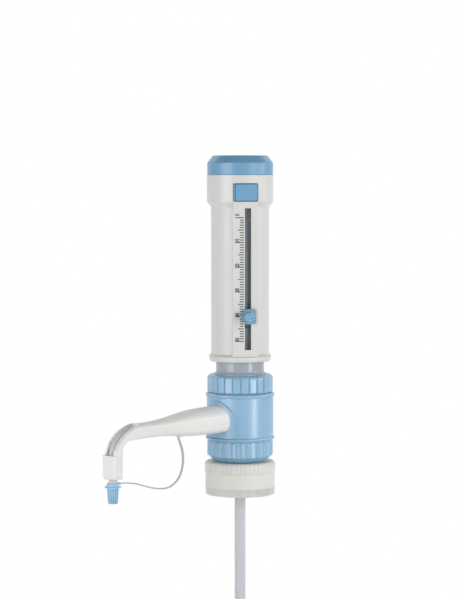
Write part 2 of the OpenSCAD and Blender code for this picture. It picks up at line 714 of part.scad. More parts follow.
module closure_cap() color("skyblue") translate([-arm_reach, 0, 0]) difference() {
    body_r = closure_d / 2;
    brim_r = closure_brim_d / 2;
    low = closure_z - closure_h;
    union() {
        intersection() {
            translate([0, 0, low]) linear_extrude(closure_h) polygon(ribbed(body_r, 0.4, 14));
            translate([0, 0, low]) cylinder(r1 = body_r - 0.8, r2 = body_r, h = closure_h);
        }
        rotate_extrude() polygon([[0, closure_z - 0.3], [body_r + 0.1, closure_z - 0.3],
            [brim_r - 0.4, closure_z], [brim_r, closure_z + 0.4], [brim_r - 0.2, closure_z + 0.9],
            [body_r + 0.4, closure_z + 1.2], [body_r + 0.3, closure_top - 0.2],
            [body_r + 0.1, closure_top], [0, closure_top]]);
        translate([body_r, -1.2, ear_z - 0.9]) cube([ear_x - body_r, 2.4, 1.8]);
    }
    translate([0, 0, tip_z - 0.6]) cylinder(r = socket_r, h = closure_top - tip_z + cut);
}

// ---------- piston housing ----------

// Slab with round corners that fills the window in the head, from p0 to p1 in
// front of the axis. It is larger than the cover by the gap on every side.
module cover_slab(p0, p1, gap) {
    corner = 1;
    translate([0, -p0, cover_z + (cover_h + play) / 2]) rotate([90, 0, 0]) linear_extrude(p1 - p0)
        offset(r = corner + gap, $fn = 24)
            square([cover_w - 2 * corner, cover_h - 2 * corner], center = true);
}

module housing_shell() {
    rim_r = rim_d / 2;
    difference() {
        union() {
            rotate_extrude() polygon([[0, housing_z], [rim_r - 1.3, housing_z],
                [rim_r - 0.6, housing_z + 0.5], [rim_r, housing_z + 1.7], [rim_r, groove_z - 0.3],
                [rim_r - groove_depth, groove_z - 0.1], [rim_r - groove_depth, groove_z + 0.2],
                [rim_r - 0.25, groove_z + 0.4], [housing_r, groove_z + rim_flare_h],
                [housing_r, bevel_z], [head_r, head_z], [head_r, cap_z], [0, cap_z]]);
            // raised flat strip that carries the scale, down to the groove
            intersection() {
                translate([0, 0, groove_z + 0.3]) cylinder(r = head_r, h = head_z - groove_z);
                on_panel() panel_box(-panel_half, panel_half, 0, panel_offset, housing_z, cap_z);
            }
        }
        // the head is flat in front too, up to the top of the cover
        on_panel() panel_box(-panel_half, panel_half, panel_offset, head_r + cut,
            bevel_z - cut, cover_z + cover_h + play);
    }
}

module piston_housing() color("white") difference() {
    housing_shell();
    translate([0, 0, housing_z - cut]) cylinder(r = housing_in_r, h = floor_z - housing_z + cut);
    translate([0, 0, floor_z + floor_t]) cylinder(r = head_in_r, h = cap_z - floor_z);
    translate([0, 0, floor_z - cut]) cylinder(d = rod_d + 2 * play, h = floor_t + 2 * cut);
    on_panel() {
        // slot, track of the clamp nut, and the window under the cover
        panel_box(slot_shift - slot_w / 2, slot_shift + slot_w / 2, 0, head_r, slot_bottom, slot_top);
        panel_box(slot_shift - track_half, slot_shift + track_half, 0, track_out,
            slot_bottom - 4, slot_top + 1);
        cover_slab(cover_seat, head_r + cut, play / 2);
    }
}

// Soft ring under the head's floor that meets the sleeve's end
module bumper_ring() color("dimgray")
    ring(sleeve_r - 0.1, sleeve_in_r - 0.1, sleeve_top + 0.3, floor_z - sleeve_top - 0.3);

// Two strips of teeth, one for each graduation, that lock the clamp nut
module stop_rack() color("gainsboro") on_panel() {
    teeth = ceil((slot_top - slot_bottom) / tooth_pitch) - 1;
    for (side = [-1, 1]) translate([slot_shift + side * (track_half + slot_w / 2) / 2, -track_out, slot_bottom])
        rotate([0, -90, 0]) translate([0, 0, -0.8]) linear_extrude(1.6)
            polygon(concat([[0, 0], [0, rack_t - 0.4]],
                [for (i = [0:teeth - 1]) each [[i * tooth_pitch + 0.2, rack_t - 0.4],
                    [i * tooth_pitch + tooth_pitch / 2, rack_t]]],
                [[teeth * tooth_pitch, rack_t - 0.4], [teeth * tooth_pitch, 0]]));
}

module top_cap() color("skyblue") {
    cap_r = cap_d / 2;
    top_r = cap_top_d / 2;
    top = cap_z + cap_h;
    spigot_r = head_in_r - 0.1;
    rotate_extrude() polygon([[0, top], [top_r - 0.4, top], [top_r, top - 0.15],
        [cap_r - 0.3, top - cap_bevel_h], [cap_r, top - cap_bevel_h - 0.6], [cap_r, cap_z + 0.4],
        [cap_r - 0.4, cap_z], [spigot_r, cap_z], [spigot_r, cap_z - 4], [spigot_r - cap_wall, cap_z - 4],
        [spigot_r - cap_wall, top - cap_bevel_h - cap_wall], [top_r - cap_wall, top - cap_wall],
        [0, top - cap_wall]]);
}

module calibration_cover() color("skyblue") on_panel() {
    face = panel_offset + 0.5;
    // the front edge is rounded in three steps
    steps = [[0.9, 0], [0.45, -0.2], [0.15, -0.5]];
    for (i = [0:2]) cover_slab(cover_seat + 0.05, face - steps[i][0], steps[i][1]);
    cover_slab(cover_seat + 0.05, face, -0.9);
}

// ---------- plunger ----------

plunger_z = cup_z + seal_t + 0.6;
rod_flange_t = 1.5;

module plunger_rod() color("silver") {
    low = plunger_z + 3;
    translate([0, 0, low]) cylinder(d = rod_d, h = floor_z + floor_t - low + 8);
    translate([0, 0, floor_z + floor_t]) cylinder(d = 2 * rod_d, h = rod_flange_t);
}

module plunger_head() color("white") difference() {
    r = glass_r - plunger_gap;
    rotate_extrude() polygon([[0, plunger_z], [r - 1.6, plunger_z], [r - 0.6, plunger_z + 1],
        [r - 0.6, plunger_z + 3], [r - 2, plunger_z + 3], [r - 2, plunger_z + 7],
        [r, plunger_z + 7], [r, plunger_z + plunger_l - 1], [r - 1, plunger_z + plunger_l],
        [0, plunger_z + plunger_l]]);
    translate([0, 0, plunger_z + 3]) cylinder(d = rod_d + 0.1, h = plunger_l);
}

module plunger_seal() color("aliceblue") {
    r = glass_r - plunger_gap;
    rotate_extrude() polygon([[r - 1.95, plunger_z + 3.05], [r - 0.7, plunger_z + 3.05], [r, plunger_z + 3.6],
        [r - 0.5, plunger_z + 5], [r, plunger_z + 6.4], [r - 0.4, plunger_z + 6.95],
        [r - 1.95, plunger_z + 6.95]]);
}

// The nut under the top cap sets the rod's height, which calibrates the stroke
module calibration_nut() color("silver") {
    z = floor_z + floor_t + rod_flange_t;
    difference() {
        translate([0, 0, z]) cylinder(r = rod_d, h = 5, $fn = 6);
        translate([0, 0, z - cut]) cylinder(d = rod_d + 0.1, h = 5 + 2 * cut);
    }
}

// ---------- pointer ----------

module across_panel(r, p0, p1, z) {
    translate([slot_shift, -p0, z]) rotate([90, 0, 0]) cylinder(r = r, h = p1 - p0);
}

plate_seat = panel_offset + play;
plate_face = plate_seat + pointer_t;
clamp_face = track_out - rack_t - 0.2;
clamp_web = clamp_face - 0.5;      // the web passes outside the stop ring
clamp_back = sleeve_r + 0.35;      // the lug below it meets the ring
screw_end = clamp_web + 0.05;

module pointer_plate() color("skyblue") on_panel() difference() {
    h = pointer_h / 2;
    s = slot_shift;
    chamfer = 1.4;
    union() {
        translate([0, -plate_seat, pointer_z]) rotate([90, 0, 0]) linear_extrude(pointer_t)
            polygon([[s - pointer_reach, 0], [s - 2.6, h - 0.6], [s - 1.6, h], [s + pointer_tail - chamfer, h],
                [s + pointer_tail, h - chamfer], [s + pointer_tail, chamfer - h],
                [s + pointer_tail - chamfer, -h], [s - 1.6, -h], [s - 2.6, 0.6 - h]]);
        panel_box(s - slot_w / 2 + play, s + slot_w / 2 - play, clamp_face, plate_seat + cut,
            pointer_z - 3, pointer_z + 3);
    }
    across_panel(knob_screw_d / 2 + run, clamp_face - cut, plate_face + cut, pointer_z);
}

module clamp_nut() color("dimgray") on_panel() difference() {
    half = track_half - 0.4;
    lug_z = pointer_z - clamp_drop;
    union() {
        panel_box(slot_shift - half, slot_shift + half, clamp_back, clamp_face,
            lug_z - clamp_h / 2, lug_z + clamp_h / 2);
        panel_box(slot_shift - half, slot_shift + half, clamp_web, clamp_face, lug_z, pointer_z + 3.4);
    }
    across_panel(knob_screw_d / 2 + run, clamp_back - cut, clamp_face + cut, pointer_z);
}

module pointer_knob() color("skyblue") on_panel() difference() {
    near = plate_face + 0.1;
    far = near + knob_l;
    r = knob_d / 2;
    intersection() {
        translate([slot_shift, -near, pointer_z]) rotate([90, 0, 0]) linear_extrude(knob_l)
            polygon(ribbed(r, 0.5, 12));
        union() {
            across_panel(r - 0.5, near, near + cut, pointer_z);
            across_panel(r, near + 0.6, far - 0.8, pointer_z);
            translate([slot_shift, 0.81 - far, pointer_z]) rotate([90, 0, 0])
                cylinder(r1 = r, r2 = r - 0.8, h = 0.81);
        }
    }
    across_panel(knob_screw_d / 2 + 0.05, near - cut, far - 2, pointer_z);
}

module knob_screw() color("silver") on_panel()
    across_panel(knob_screw_d / 2, screw_end, plate_face + 0.1 + knob_l - 2, pointer_z);

bottle_nut();
rim_gasket();
block_core();
valve_block();
lower_collar();
upper_collar();
cylinder_seal();
glass_cylinder();
centring_ring();
protective_sleeve();
stop_ring();
filling_valve();
filling_valve_seal();
inlet_ball();
discharge_valve();
discharge_valve_seal();
outlet_ball();
outlet_spring();
arm_coupling_nut();
arm();
discharge_tube();
strap_pin();
cap_strap();
closure_cap();
filling_tube_upper();
filling_tube_lower();
piston_housing();
stop_rack();
bumper_ring();
top_cap();
calibration_cover();
plunger_rod();
plunger_head();
plunger_seal();
calibration_nut();
pointer_plate();
clamp_nut();
pointer_knob();
knob_screw();
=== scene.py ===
# %% [markdown]
# # A bottle top dispenser, dressed over its CAD frame
# The object draws a set volume out of a reagent bottle and pushes it out through a long arm.
# Its solids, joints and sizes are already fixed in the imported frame. This lesson adds what
# the eye reads: moulded plastic, printed graduations, soft edges and studio light.

# %% Load the frame
import math
import bmesh
import bpy
import numpy as np
from mathutils import Matrix, Vector
from mathutils.bvhtree import BVHTree


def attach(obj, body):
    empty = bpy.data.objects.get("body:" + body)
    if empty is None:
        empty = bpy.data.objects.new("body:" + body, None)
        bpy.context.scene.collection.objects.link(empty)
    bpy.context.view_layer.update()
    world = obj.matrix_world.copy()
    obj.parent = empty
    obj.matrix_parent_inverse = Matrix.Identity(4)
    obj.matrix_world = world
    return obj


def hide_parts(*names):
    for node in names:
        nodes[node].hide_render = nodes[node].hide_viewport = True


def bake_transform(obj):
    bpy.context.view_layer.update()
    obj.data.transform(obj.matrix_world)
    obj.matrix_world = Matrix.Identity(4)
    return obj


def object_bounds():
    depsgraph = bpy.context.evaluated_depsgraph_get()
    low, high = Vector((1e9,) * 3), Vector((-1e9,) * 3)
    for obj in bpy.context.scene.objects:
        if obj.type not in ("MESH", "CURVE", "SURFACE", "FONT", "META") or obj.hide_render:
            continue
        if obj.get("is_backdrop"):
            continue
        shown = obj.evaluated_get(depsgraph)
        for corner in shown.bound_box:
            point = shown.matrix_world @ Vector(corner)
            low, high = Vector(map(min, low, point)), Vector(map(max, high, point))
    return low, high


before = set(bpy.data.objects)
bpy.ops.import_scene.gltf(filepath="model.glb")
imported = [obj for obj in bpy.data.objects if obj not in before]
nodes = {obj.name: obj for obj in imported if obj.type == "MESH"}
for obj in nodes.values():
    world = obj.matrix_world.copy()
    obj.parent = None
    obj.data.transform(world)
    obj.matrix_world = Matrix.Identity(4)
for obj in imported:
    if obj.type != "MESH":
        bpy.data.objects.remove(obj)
low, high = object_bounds()
frame_box = [list(low), list(high)]
print("frame loaded:", len(nodes), "nodes, height", round(high.z - low.z, 4), "m")

# %% [markdown]
# ## The camera
# The dispenser is tall and narrow, and its upright sides should look parallel. An orthographic
# camera would do that too, but it takes away all sense of nearness, so this is a long lens from
# almost two metres. It looks a little downwards, and a hair to the left of the plunger's axis,
# so that the long arm has room on its side.

# %% Camera
AXIS_DISTANCE = 1.735
CAMERA_TURN = math.radians(-46.5)
CAMERA_HEIGHT = 0.2297
LOOK_DOWN = math.radians(3.24)
LOOK_LEFT = math.radians(0.232)
camera_data = bpy.data.cameras.new("camera")
camera_data.lens = 135.2
camera_data.sensor_width = 36.0
camera_data.clip_start = 0.1
camera_data.clip_end = 50.0
camera = bpy.data.objects.new("camera", camera_data)
camera.location = (math.sin(CAMERA_TURN) * AXIS_DISTANCE,
                   -math.cos(CAMERA_TURN) * AXIS_DISTANCE, CAMERA_HEIGHT)
camera.rotation_euler = (math.radians(90) - LOOK_DOWN, 0, CAMERA_TURN + LOOK_LEFT)
bpy.context.scene.collection.objects.link(camera)
bpy.context.scene.camera = camera
print("camera at", [round(v, 3) for v in camera.location])

# %% [markdown]
# ## The line of the strap
# A thin soft cord keeps the closure cap with the dispenser. It leaves an ear on the cap, dips
# under its own weight, and rises to a pin under the arm. A simulation could let it sag, but a
# few points in millimetres, listed here, come out the same each time. A smooth curve through
# them gives as many more as a bend needs.

# %% Strap line
STRAP_POINTS = [(-127.8, 0, 1.4), (-124, 0, 1.2), (-118, 0, 0.6), (-111, 0, -0.8),
                (-104, 0, -2.8), (-97, 0, -4.8), (-90, 0, -6.3), (-83, 0, -7), (-77, 0, -6.4),
                (-71, 0, -3.8), (-66.5, 0, 0.3), (-63.5, 0, 6.4), (-62.5, 0, 13.5),
                (-63.5, 0, 20.6), (-66, 0, 26.7), (-67, 0, 28.8), (-67, 0, 30.35)]
STRAP_STEPS = 4


def smooth_line(points, steps):
    """The same smooth curve as the CAD route's, cut into steps between each two points."""
    p = [np.array(q, float) for q in points]
    last = len(p) - 1
    out = []
    for i in range(last):
        a, b, c, d = p[max(i - 1, 0)], p[i], p[i + 1], p[min(i + 2, last)]
        for t in (k / steps for k in range(steps)):
            out.append(0.5 * (2 * b + (c - a) * t + (2 * a - 5 * b + 4 * c - d) * t * t
                              + (3 * b - a - 3 * c + d) * t ** 3))
    return np.array(out + [p[last]])


strap_line = smooth_line(STRAP_POINTS, STRAP_STEPS) / 1000

# %% [markdown]
# ## The body of the strap
# A curve with a round bevel is the natural form of a cord, since its section follows every
# bend. A radius at each point lets it swell towards the pin, where it is moulded thicker, and
# thin out towards the cap, where it has to give.

# %% Strap curve
STRAP_DIAMETER = 0.0014
STRAP_SWELL = [0.72, 0.72, 0.72, 0.72, 0.74, 0.76, 0.8, 0.85, 0.95, 1.08, 1.2, 1.3, 1.35, 1.35,
               1.3, 1.2, 1.2]
strap_curve = bpy.data.curves.new("cap_strap_soft", "CURVE")
strap_curve.dimensions = "3D"
strap_curve.bevel_depth = STRAP_DIAMETER / 2
strap_curve.bevel_resolution = 6
strap_curve.use_fill_caps = True
spline = strap_curve.splines.new("POLY")
spline.points.add(len(strap_line) - 1)
for i, (point, place) in enumerate(zip(spline.points, strap_line)):
    point.co = (*place, 1)
    point.radius = float(np.interp(i / STRAP_STEPS, range(len(STRAP_SWELL)), STRAP_SWELL))
strap = bpy.data.objects.new("cap_strap_soft", strap_curve)
bpy.context.scene.collection.objects.link(strap)
print("strap from", min(STRAP_SWELL), "to", max(STRAP_SWELL), "of its diameter")

# %% [markdown]
# ## A helper for shader groups
# What all plastics have in common belongs in one node group, which each material then uses with
# its own values. A group could be drawn in the Shader Editor, but one made by a helper can be
# read as text. The helper names its sockets and gives them values to start from.

# %% Group helper


def new_group(name, sockets_in, sockets_out):
    """A shader group with (name, kind, value) inputs and (name, kind) outputs."""
    group = bpy.data.node_groups.new(name, "ShaderNodeTree")
    for socket, kind, value in sockets_in:
        group.interface.new_socket(socket, in_out="INPUT", socket_type=kind).default_value = value
    for socket, kind in sockets_out:
        group.interface.new_socket(socket, in_out="OUTPUT", socket_type=kind)
    return group, group.nodes.new("NodeGroupInput"), group.nodes.new("NodeGroupOutput")


print("helper: new_group")

# %% [markdown]
# ## Helpers for noise and sums
# Nearly every change over a surface starts as noise and passes through a sum. Each of them
# takes four or five lines when it is written out, so two helpers keep the graphs short enough
# to read. A value can be a number or another node's socket.

# %% Noise and maths


def noise(tree, vector, scale, detail=3.0, rough=0.5):
    """Noise over the given coordinates, from 0 to 1."""
    node = tree.nodes.new("ShaderNodeTexNoise")
    for socket, value in (("Scale", scale), ("Detail", detail), ("Roughness", rough)):
        node.inputs[socket].default_value = value
    tree.links.new(vector, node.inputs["Vector"])
    return node.outputs["Fac"]


def math_node(tree, kind, *values, clamp=False):
    """A maths node over numbers and sockets, with its result held between 0 and 1 on demand."""
    node = tree.nodes.new("ShaderNodeMath")
    node.operation = kind
    node.use_clamp = clamp
    for socket, value in zip(node.inputs, values):
        if isinstance(value, (int, float)):
            socket.default_value = value
        else:
            tree.links.new(value, socket)
    return node.outputs[0]


print("helpers: noise, math_node")

# %% [markdown]
# ## Painted shade in the hollows
# Grooves between ribs are painted darker than the ribs. This is painted shade, standing for the
# shade that falls in them. A mask for them could be painted by hand, but it would be out of date
# with each new rib. The Ambient Occlusion node finds by itself what is closed in within a
# millimetre or two.

# %% Hollows
HOLLOW_REACH = 0.0016


def closed_in(group):
    """From 0 on an open face to 1 in a deep groove."""
    nearby = group.nodes.new("ShaderNodeAmbientOcclusion")
    nearby.samples = 8
    nearby.only_local = True
    nearby.inputs["Distance"].default_value = HOLLOW_REACH
    return math_node(group, "SUBTRACT", 1.0, nearby.outputs["AO"])


print("hollows darken within", HOLLOW_REACH * 1000, "mm")

# %% [markdown]
# ## Tone and painted shade
# The melt cools unevenly in its mould, so a moulded colour drifts a little over a few
# centimetres. An image texture could hold the drift, but noise needs no unwrapping and no file.
# It swings the brightness up and down, and the painted shade of the hollows is taken off the
# result.

# %% Tone
DRIFT_SCALE = 18.0


def toned(group, gin, coords, closed):
    """The group's colour with its drift, darkened by painted shade where it is closed in."""
    swing = math_node(group, "MULTIPLY_ADD", noise(group, coords, DRIFT_SCALE, 2.0), 2.0, -1.0)
    value = math_node(group, "MULTIPLY_ADD", swing, gin.outputs["Drift"], 1.0)
    # painted shade: the colour is darkened in the hollows, as strongly as the plastic asks
    shade = math_node(group, "MULTIPLY", closed, gin.outputs["Hollow shade"])
    value = math_node(group, "MULTIPLY", value, math_node(group, "SUBTRACT", 1.0, shade))
    hsv = group.nodes.new("ShaderNodeHueSaturation")
    group.links.new(gin.outputs["Colour"], hsv.inputs["Color"])
    group.links.new(value, hsv.inputs["Value"])
    return hsv.outputs["Color"]


print("colour drifts over about", round(100 / DRIFT_SCALE), "cm")

# %% [markdown]
# ## Soft edges
# No moulded edge is sharp: a fine line of light runs along each of them. A Bevel modifier would
# give the line with real faces, but on solids with many small faces it often goes wrong. The
# Bevel node only turns the normal round the edge, and leaves the mesh as it is.

# %% Soft edges


def soft_normal(group, gin):
    """The normal, turned smoothly round each edge over the group's edge width."""
    bevel = group.nodes.new("ShaderNodeBevel")
    bevel.samples = 6
    group.links.new(gin.outputs["Edge"], bevel.inputs["Radius"])
    return bevel.outputs["Normal"]


print("helper: soft_normal")

# %% [markdown]
# ## Rubbed edges
# Hands polish the edges that stand out until they are a little paler. Pointiness in the mesh
# could find them, but it needs a dense mesh. Where the soft normal leaves the face's own, there
# is an edge, and that is the mask. Hollow corners are left out of it, as no hand gets there.

# %% Rubbed edges
RUBBED_COLOUR = (0.8, 0.82, 0.84, 1)
EDGE_STEEP = 4.0


def rubbed(group, gin, colour, normal, closed):
    """The colour, paler along the edges that stand out."""
    facing = group.nodes.new("ShaderNodeVectorMath")
    facing.operation = "DOT_PRODUCT"
    group.links.new(normal, facing.inputs[0])
    group.links.new(group.nodes.new("ShaderNodeNewGeometry").outputs["Normal"], facing.inputs[1])
    edge = math_node(group, "MULTIPLY_ADD", facing.outputs["Value"], -EDGE_STEEP, EDGE_STEEP,
                     clamp=True)
    outer = math_node(group, "MULTIPLY_ADD", closed, -EDGE_STEEP, 1.0, clamp=True)
    edge = math_node(group, "MULTIPLY", edge, outer)
    mix = group.nodes.new("ShaderNodeMix")
    mix.data_type = "RGBA"
    group.links.new(math_node(group, "MULTIPLY", edge, gin.outputs["Wear"]), mix.inputs["Factor"])
    group.links.new(colour, mix.inputs["A"])
    mix.inputs["B"].default_value = RUBBED_COLOUR
    return mix.outputs["Result"]


print("helper: rubbed")

# %% [markdown]
# ## The surface that all plastics share
# Tone and edges now go into one group, so that all pieces look as if they came from one maker.
# Its inputs are what differs from plastic to plastic, and it gives back a colour, a roughness
# and a normal. The Principled BSDF stays outside, so each material can still add gloss, glow or
# glass of its own.

# %% Moulded surface
MOULDED, gin, gout = new_group("moulded_surface", [
    ("Colour", "NodeSocketColor", (0.8, 0.8, 0.8, 1)), ("Drift", "NodeSocketFloat", 0.03),
    ("Roughness", "NodeSocketFloat", 0.4), ("Grain", "NodeSocketFloat", 0.1),
    ("Edge", "NodeSocketFloat", 0.0003), ("Wear", "NodeSocketFloat", 0.1),
    # the hollow input sets how strongly painted shade darkens the grooves
    ("Hollow shade", "NodeSocketFloat", 0.5)],
    [("Colour", "NodeSocketColor"), ("Roughness", "NodeSocketFloat"),
     ("Normal", "NodeSocketVector")])
coords = MOULDED.nodes.new("ShaderNodeTexCoord").outputs["Object"]
closed = closed_in(MOULDED)
normal = soft_normal(MOULDED, gin)
colour = rubbed(MOULDED, gin, toned(MOULDED, gin, coords, closed), normal, closed)
MOULDED.links.new(colour, gout.inputs["Colour"])
print("shader group:", MOULDED.name, "with", len(gin.outputs) - 1, "inputs")

# %% [markdown]
# ## Grain and smears
# A mould's wall leaves a grain much finer than a mesh could carry, so a Bump node tilts the
# normal by it, on top of the soft edges. Wiping leaves faint smears in the gloss. They are a
# slow noise in the roughness, and so they only show where a light is mirrored.

# %% Grain and smears
GRAIN_SCALE = 2600.0
GRAIN_DEPTH = 0.00004
SMEAR_SCALE = 60.0
SMEAR_SWING = 0.08
smear = math_node(MOULDED, "MULTIPLY_ADD", noise(MOULDED, coords, SMEAR_SCALE, 4.0, 0.6),
                  SMEAR_SWING, -SMEAR_SWING / 2)
bump = MOULDED.nodes.new("ShaderNodeBump")
bump.inputs["Distance"].default_value = GRAIN_DEPTH
MOULDED.links.new(gin.outputs["Grain"], bump.inputs["Strength"])
MOULDED.links.new(noise(MOULDED, coords, GRAIN_SCALE, 2.0), bump.inputs["Height"])
MOULDED.links.new(normal, bump.inputs["Normal"])
MOULDED.links.new(math_node(MOULDED, "ADD", gin.outputs["Roughness"], smear),
                  gout.inputs["Roughness"])
MOULDED.links.new(bump.outputs["Normal"], gout.inputs["Normal"])
print("grain and smears added, nodes in the group:", len(MOULDED.nodes))

# %% [markdown]
# ## A material on the shared surface
# Each material is a Principled BSDF that takes its colour, roughness and normal from the shared
# group. Copying a finished material and changing it would be quick too, but the copies would
# soon differ in more than they should. So one helper makes them all, from a few numbers.

# %% Surface helper
materials = {}


def surface(name, colour, rough, drift, grain, edge, wear, hollow=0.0):
    """A new material on the shared group, with its Principled BSDF."""
    mat = bpy.data.materials.new(name)
    mat.use_nodes = True
    tree = mat.node_tree
    shader = tree.nodes["Principled BSDF"]
    group = tree.nodes.new("ShaderNodeGroup")
    group.node_tree = MOULDED
    for socket, value in (("Colour", (*colour, 1)), ("Drift", drift), ("Roughness", rough),
                          ("Grain", grain), ("Edge", edge), ("Wear", wear), ("Hollow shade", hollow)):
        group.inputs[socket].default_value = value
    for output, socket in (("Colour", "Base Color"), ("Roughness", "Roughness"),
                           ("Normal", "Normal")):
        tree.links.new(group.outputs[output], shader.inputs[socket])
    materials[name] = mat
    return mat, tree, shader


print("helper: surface")

# %% [markdown]
# ## What a plastic needs besides
# Light enters a thin, pale plastic and comes out again a little further on, so small pieces
# seem to glow. Subsurface scattering does that, with a reach of a few millimetres. A denser,
# harder plastic mirrors more, and the specular level sets how much.

# %% Plastic helper
GLOW_REACH = 0.003


def plastic(name, colour, rough=0.4, drift=0.02, grain=0.15, edge=0.0003, glow=0.0, wear=0.1,
            hollow=0.5, shine=0.5):
    """A plastic with some glow from inside and a shine of its own."""
    shader = surface(name, colour, rough, drift, grain, edge, wear, hollow)[2]
    shader.inputs["Subsurface Weight"].default_value = glow
    shader.inputs["Subsurface Radius"].default_value = (GLOW_REACH, GLOW_REACH, GLOW_REACH)
    shader.inputs["Specular IOR Level"].default_value = shine


print("helper: plastic")

# %% [markdown]
# ## Plastics
# The housing, arm and nut are three different whites, as parts from different moulds are: cool
# on the housing, cleaner on the arm, and ivory on the nut. The blues differ too. The block is
# glossy, the top cap deeper, and the knob and closure cap paler and softer. Gaskets are dull.
# Ready-made plastics from a library would all look alike, so each line gives its own colour,
# roughness, drift, grain and width of edge.

# %% Plastics
# hollow= sets how strongly painted shade darkens each plastic's grooves
plastic("housing_white", (0.70, 0.70, 0.685), 0.37, 0.01, 0.1, 0.0004, hollow=0.2)
plastic("arm_white", (0.84, 0.835, 0.81), 0.42, 0.015, 0.15, 0.0005, wear=0.15, hollow=0.3)
plastic("nut_ivory", (0.76, 0.765, 0.715), 0.5, 0.03, 0.25, 0.0003, wear=0.15, hollow=0.1)
plastic("core_white", (0.80, 0.80, 0.79), 0.4, 0.02)
plastic("block_blue", (0.262, 0.475, 0.668), 0.31, 0.012, 0.12, 0.0003, shine=0.85)
plastic("cap_blue", (0.162, 0.362, 0.556), 0.34, 0.015, 0.12, 0.0004)
# painted shade: a dark blue for the shadow in the gap beside the cover's pad
plastic("painted_gap_shade", (0.05, 0.13, 0.21), 0.7, 0.1, 0.3)
plastic("knob_blue", (0.25, 0.48, 0.66), 0.35, 0.03, 0.1, 0.0002, glow=0.15)
plastic("closure_blue", (0.36, 0.61, 0.80), 0.4, 0.04, 0.15, 0.0002, glow=0.2)
plastic("strap_blue", (0.44, 0.53, 0.59), 0.55, 0.03, 0.2, 0.0001)
plastic("bumper_grey", (0.42, 0.42, 0.44), 0.6, 0.05, 0.3)
plastic("dark_grey", (0.08, 0.085, 0.095), 0.5, 0.04)
plastic("seal_black", (0.02, 0.02, 0.02), 0.6, 0.05)
plastic("seal_white", (0.78, 0.79, 0.80), 0.35, 0.02)
plastic("ink", (0.035, 0.035, 0.04), 0.6, 0.1, 0.3, 0.00002)
print("plastics made:", len(materials))

# %% [markdown]
# ## Clear parts
# The sleeve is a frosted, slightly grey polymer, the tube a milky fluoropolymer, and the
# cylinder inside is borosilicate glass. Alpha would only let them fade, without any bending of
# light. Transmission with some roughness gives the frost, and a weight below one leaves the
# milk in it.

# %% Clear materials


def clear(name, colour, rough, ior, frost):
    """A clear or milky material, which bends light by its ior."""
    shader = surface(name, colour, rough, 0.04, 0.1, 0.0001, 0.0)[2]
    shader.inputs["IOR"].default_value = ior
    shader.inputs["Transmission Weight"].default_value = frost


clear("sleeve_clear", (0.48, 0.545, 0.61), 0.22, 1.45, 0.25)
clear("glass_clear", (0.9, 0.95, 0.96), 0.08, 1.47, 1.0)
clear("tube_clear", (0.80, 0.79, 0.84), 0.35, 1.34, 0.35)
clear("ball_glass", (0.85, 0.9, 0.9), 0.12, 1.5, 0.8)
clear("pointer_blue", (0.30, 0.52, 0.68), 0.35, 1.45, 0.35)
print("clear materials made, now", len(materials))

# %% [markdown]
# ## Steel
# The plunger's rod, its nut, the knob's screw and the outlet's spring are turned or drawn
# steel, and their gloss runs in fine lines. Anisotropy would stretch the highlights as a whole.
# A noise that is squeezed along the length and sets the roughness shows the single lines.

# %% Steel
STEEL_ROUGH = 0.35
LINE_SCALE = 120.0
LINE_SQUEEZE = (1, 1, 30)
LINE_SWING = 0.25
LINE_MIDDLE = 0.12
mat, tree, shader = surface("steel", (0.62, 0.63, 0.65), STEEL_ROUGH, 0.06, 0.1, 0.0001, 0.0)
stretch = tree.nodes.new("ShaderNodeMapping")
stretch.inputs["Scale"].default_value = LINE_SQUEEZE
tree.links.new(tree.nodes.new("ShaderNodeTexCoord").outputs["Object"], stretch.inputs["Vector"])
lines = noise(tree, stretch.outputs["Vector"], LINE_SCALE, 4.0)
tree.links.new(math_node(tree, "MULTIPLY_ADD", lines, LINE_SWING, STEEL_ROUGH - LINE_MIDDLE),
               shader.inputs["Roughness"])
shader.inputs["Metallic"].default_value = 1.0
print("materials in all:", len(materials))

# %% [markdown]
# ## Dressing the CAD nodes
# Most solids already have the right form. They could be modelled again with more freedom, but
# then they might drift away from the sizes that the maker fixed. So they stay as they are, and
# only take a material in each of their slots.

# %% Node materials
DRESS = {
    "nut_ivory": ["bottle_nut"],
    "block_blue": ["valve_block", "lower_collar", "upper_collar"],
    "core_white": ["block_core", "centring_ring", "filling_valve", "discharge_valve",
                   "arm_coupling_nut", "stop_rack", "plunger_head"],
    "seal_white": ["rim_gasket", "plunger_seal"],
    "seal_black": ["cylinder_seal", "filling_valve_seal", "discharge_valve_seal"],
    "glass_clear": ["glass_cylinder"],
    "ball_glass": ["inlet_ball", "outlet_ball"],
    "sleeve_clear": ["protective_sleeve"],
    "bumper_grey": ["stop_ring", "bumper_ring"],
    "steel": ["outlet_spring", "plunger_rod", "calibration_nut", "knob_screw"],
    "arm_white": ["arm", "strap_pin"],
    "tube_clear": ["discharge_tube", "filling_tube_upper", "filling_tube_lower"],
    "strap_blue": ["cap_strap"],
    "closure_blue": ["closure_cap"],
    "housing_white": ["piston_housing"],
    "cap_blue": ["top_cap", "calibration_cover"],
    "knob_blue": ["pointer_plate", "pointer_knob"],
    "dark_grey": ["clamp_nut"]}
for material, names in DRESS.items():
    for name in names:
        for slot in nodes[name].material_slots:
            slot.material = materials[material]
print("dressed", sum(len(names) for names in DRESS.values()), "of", len(nodes), "nodes")

# %% [markdown]
# ## The strap as a mesh
# One end of the strap is pinned to the block's arm and the other goes with the closure cap. A
# strap that rode on one of them would tear away from the other. Here the curve only becomes a
# mesh in place, tied to neither body, and the CAD strap is hidden.

# %% Strap as a mesh
strap_curve.materials.append(materials["strap_blue"])
bpy.context.view_layer.objects.active = strap
strap.select_set(True)
bpy.ops.object.convert(target="MESH")
strap = bpy.context.view_layer.objects.active
strap.select_set(False)
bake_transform(strap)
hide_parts("cap_strap")

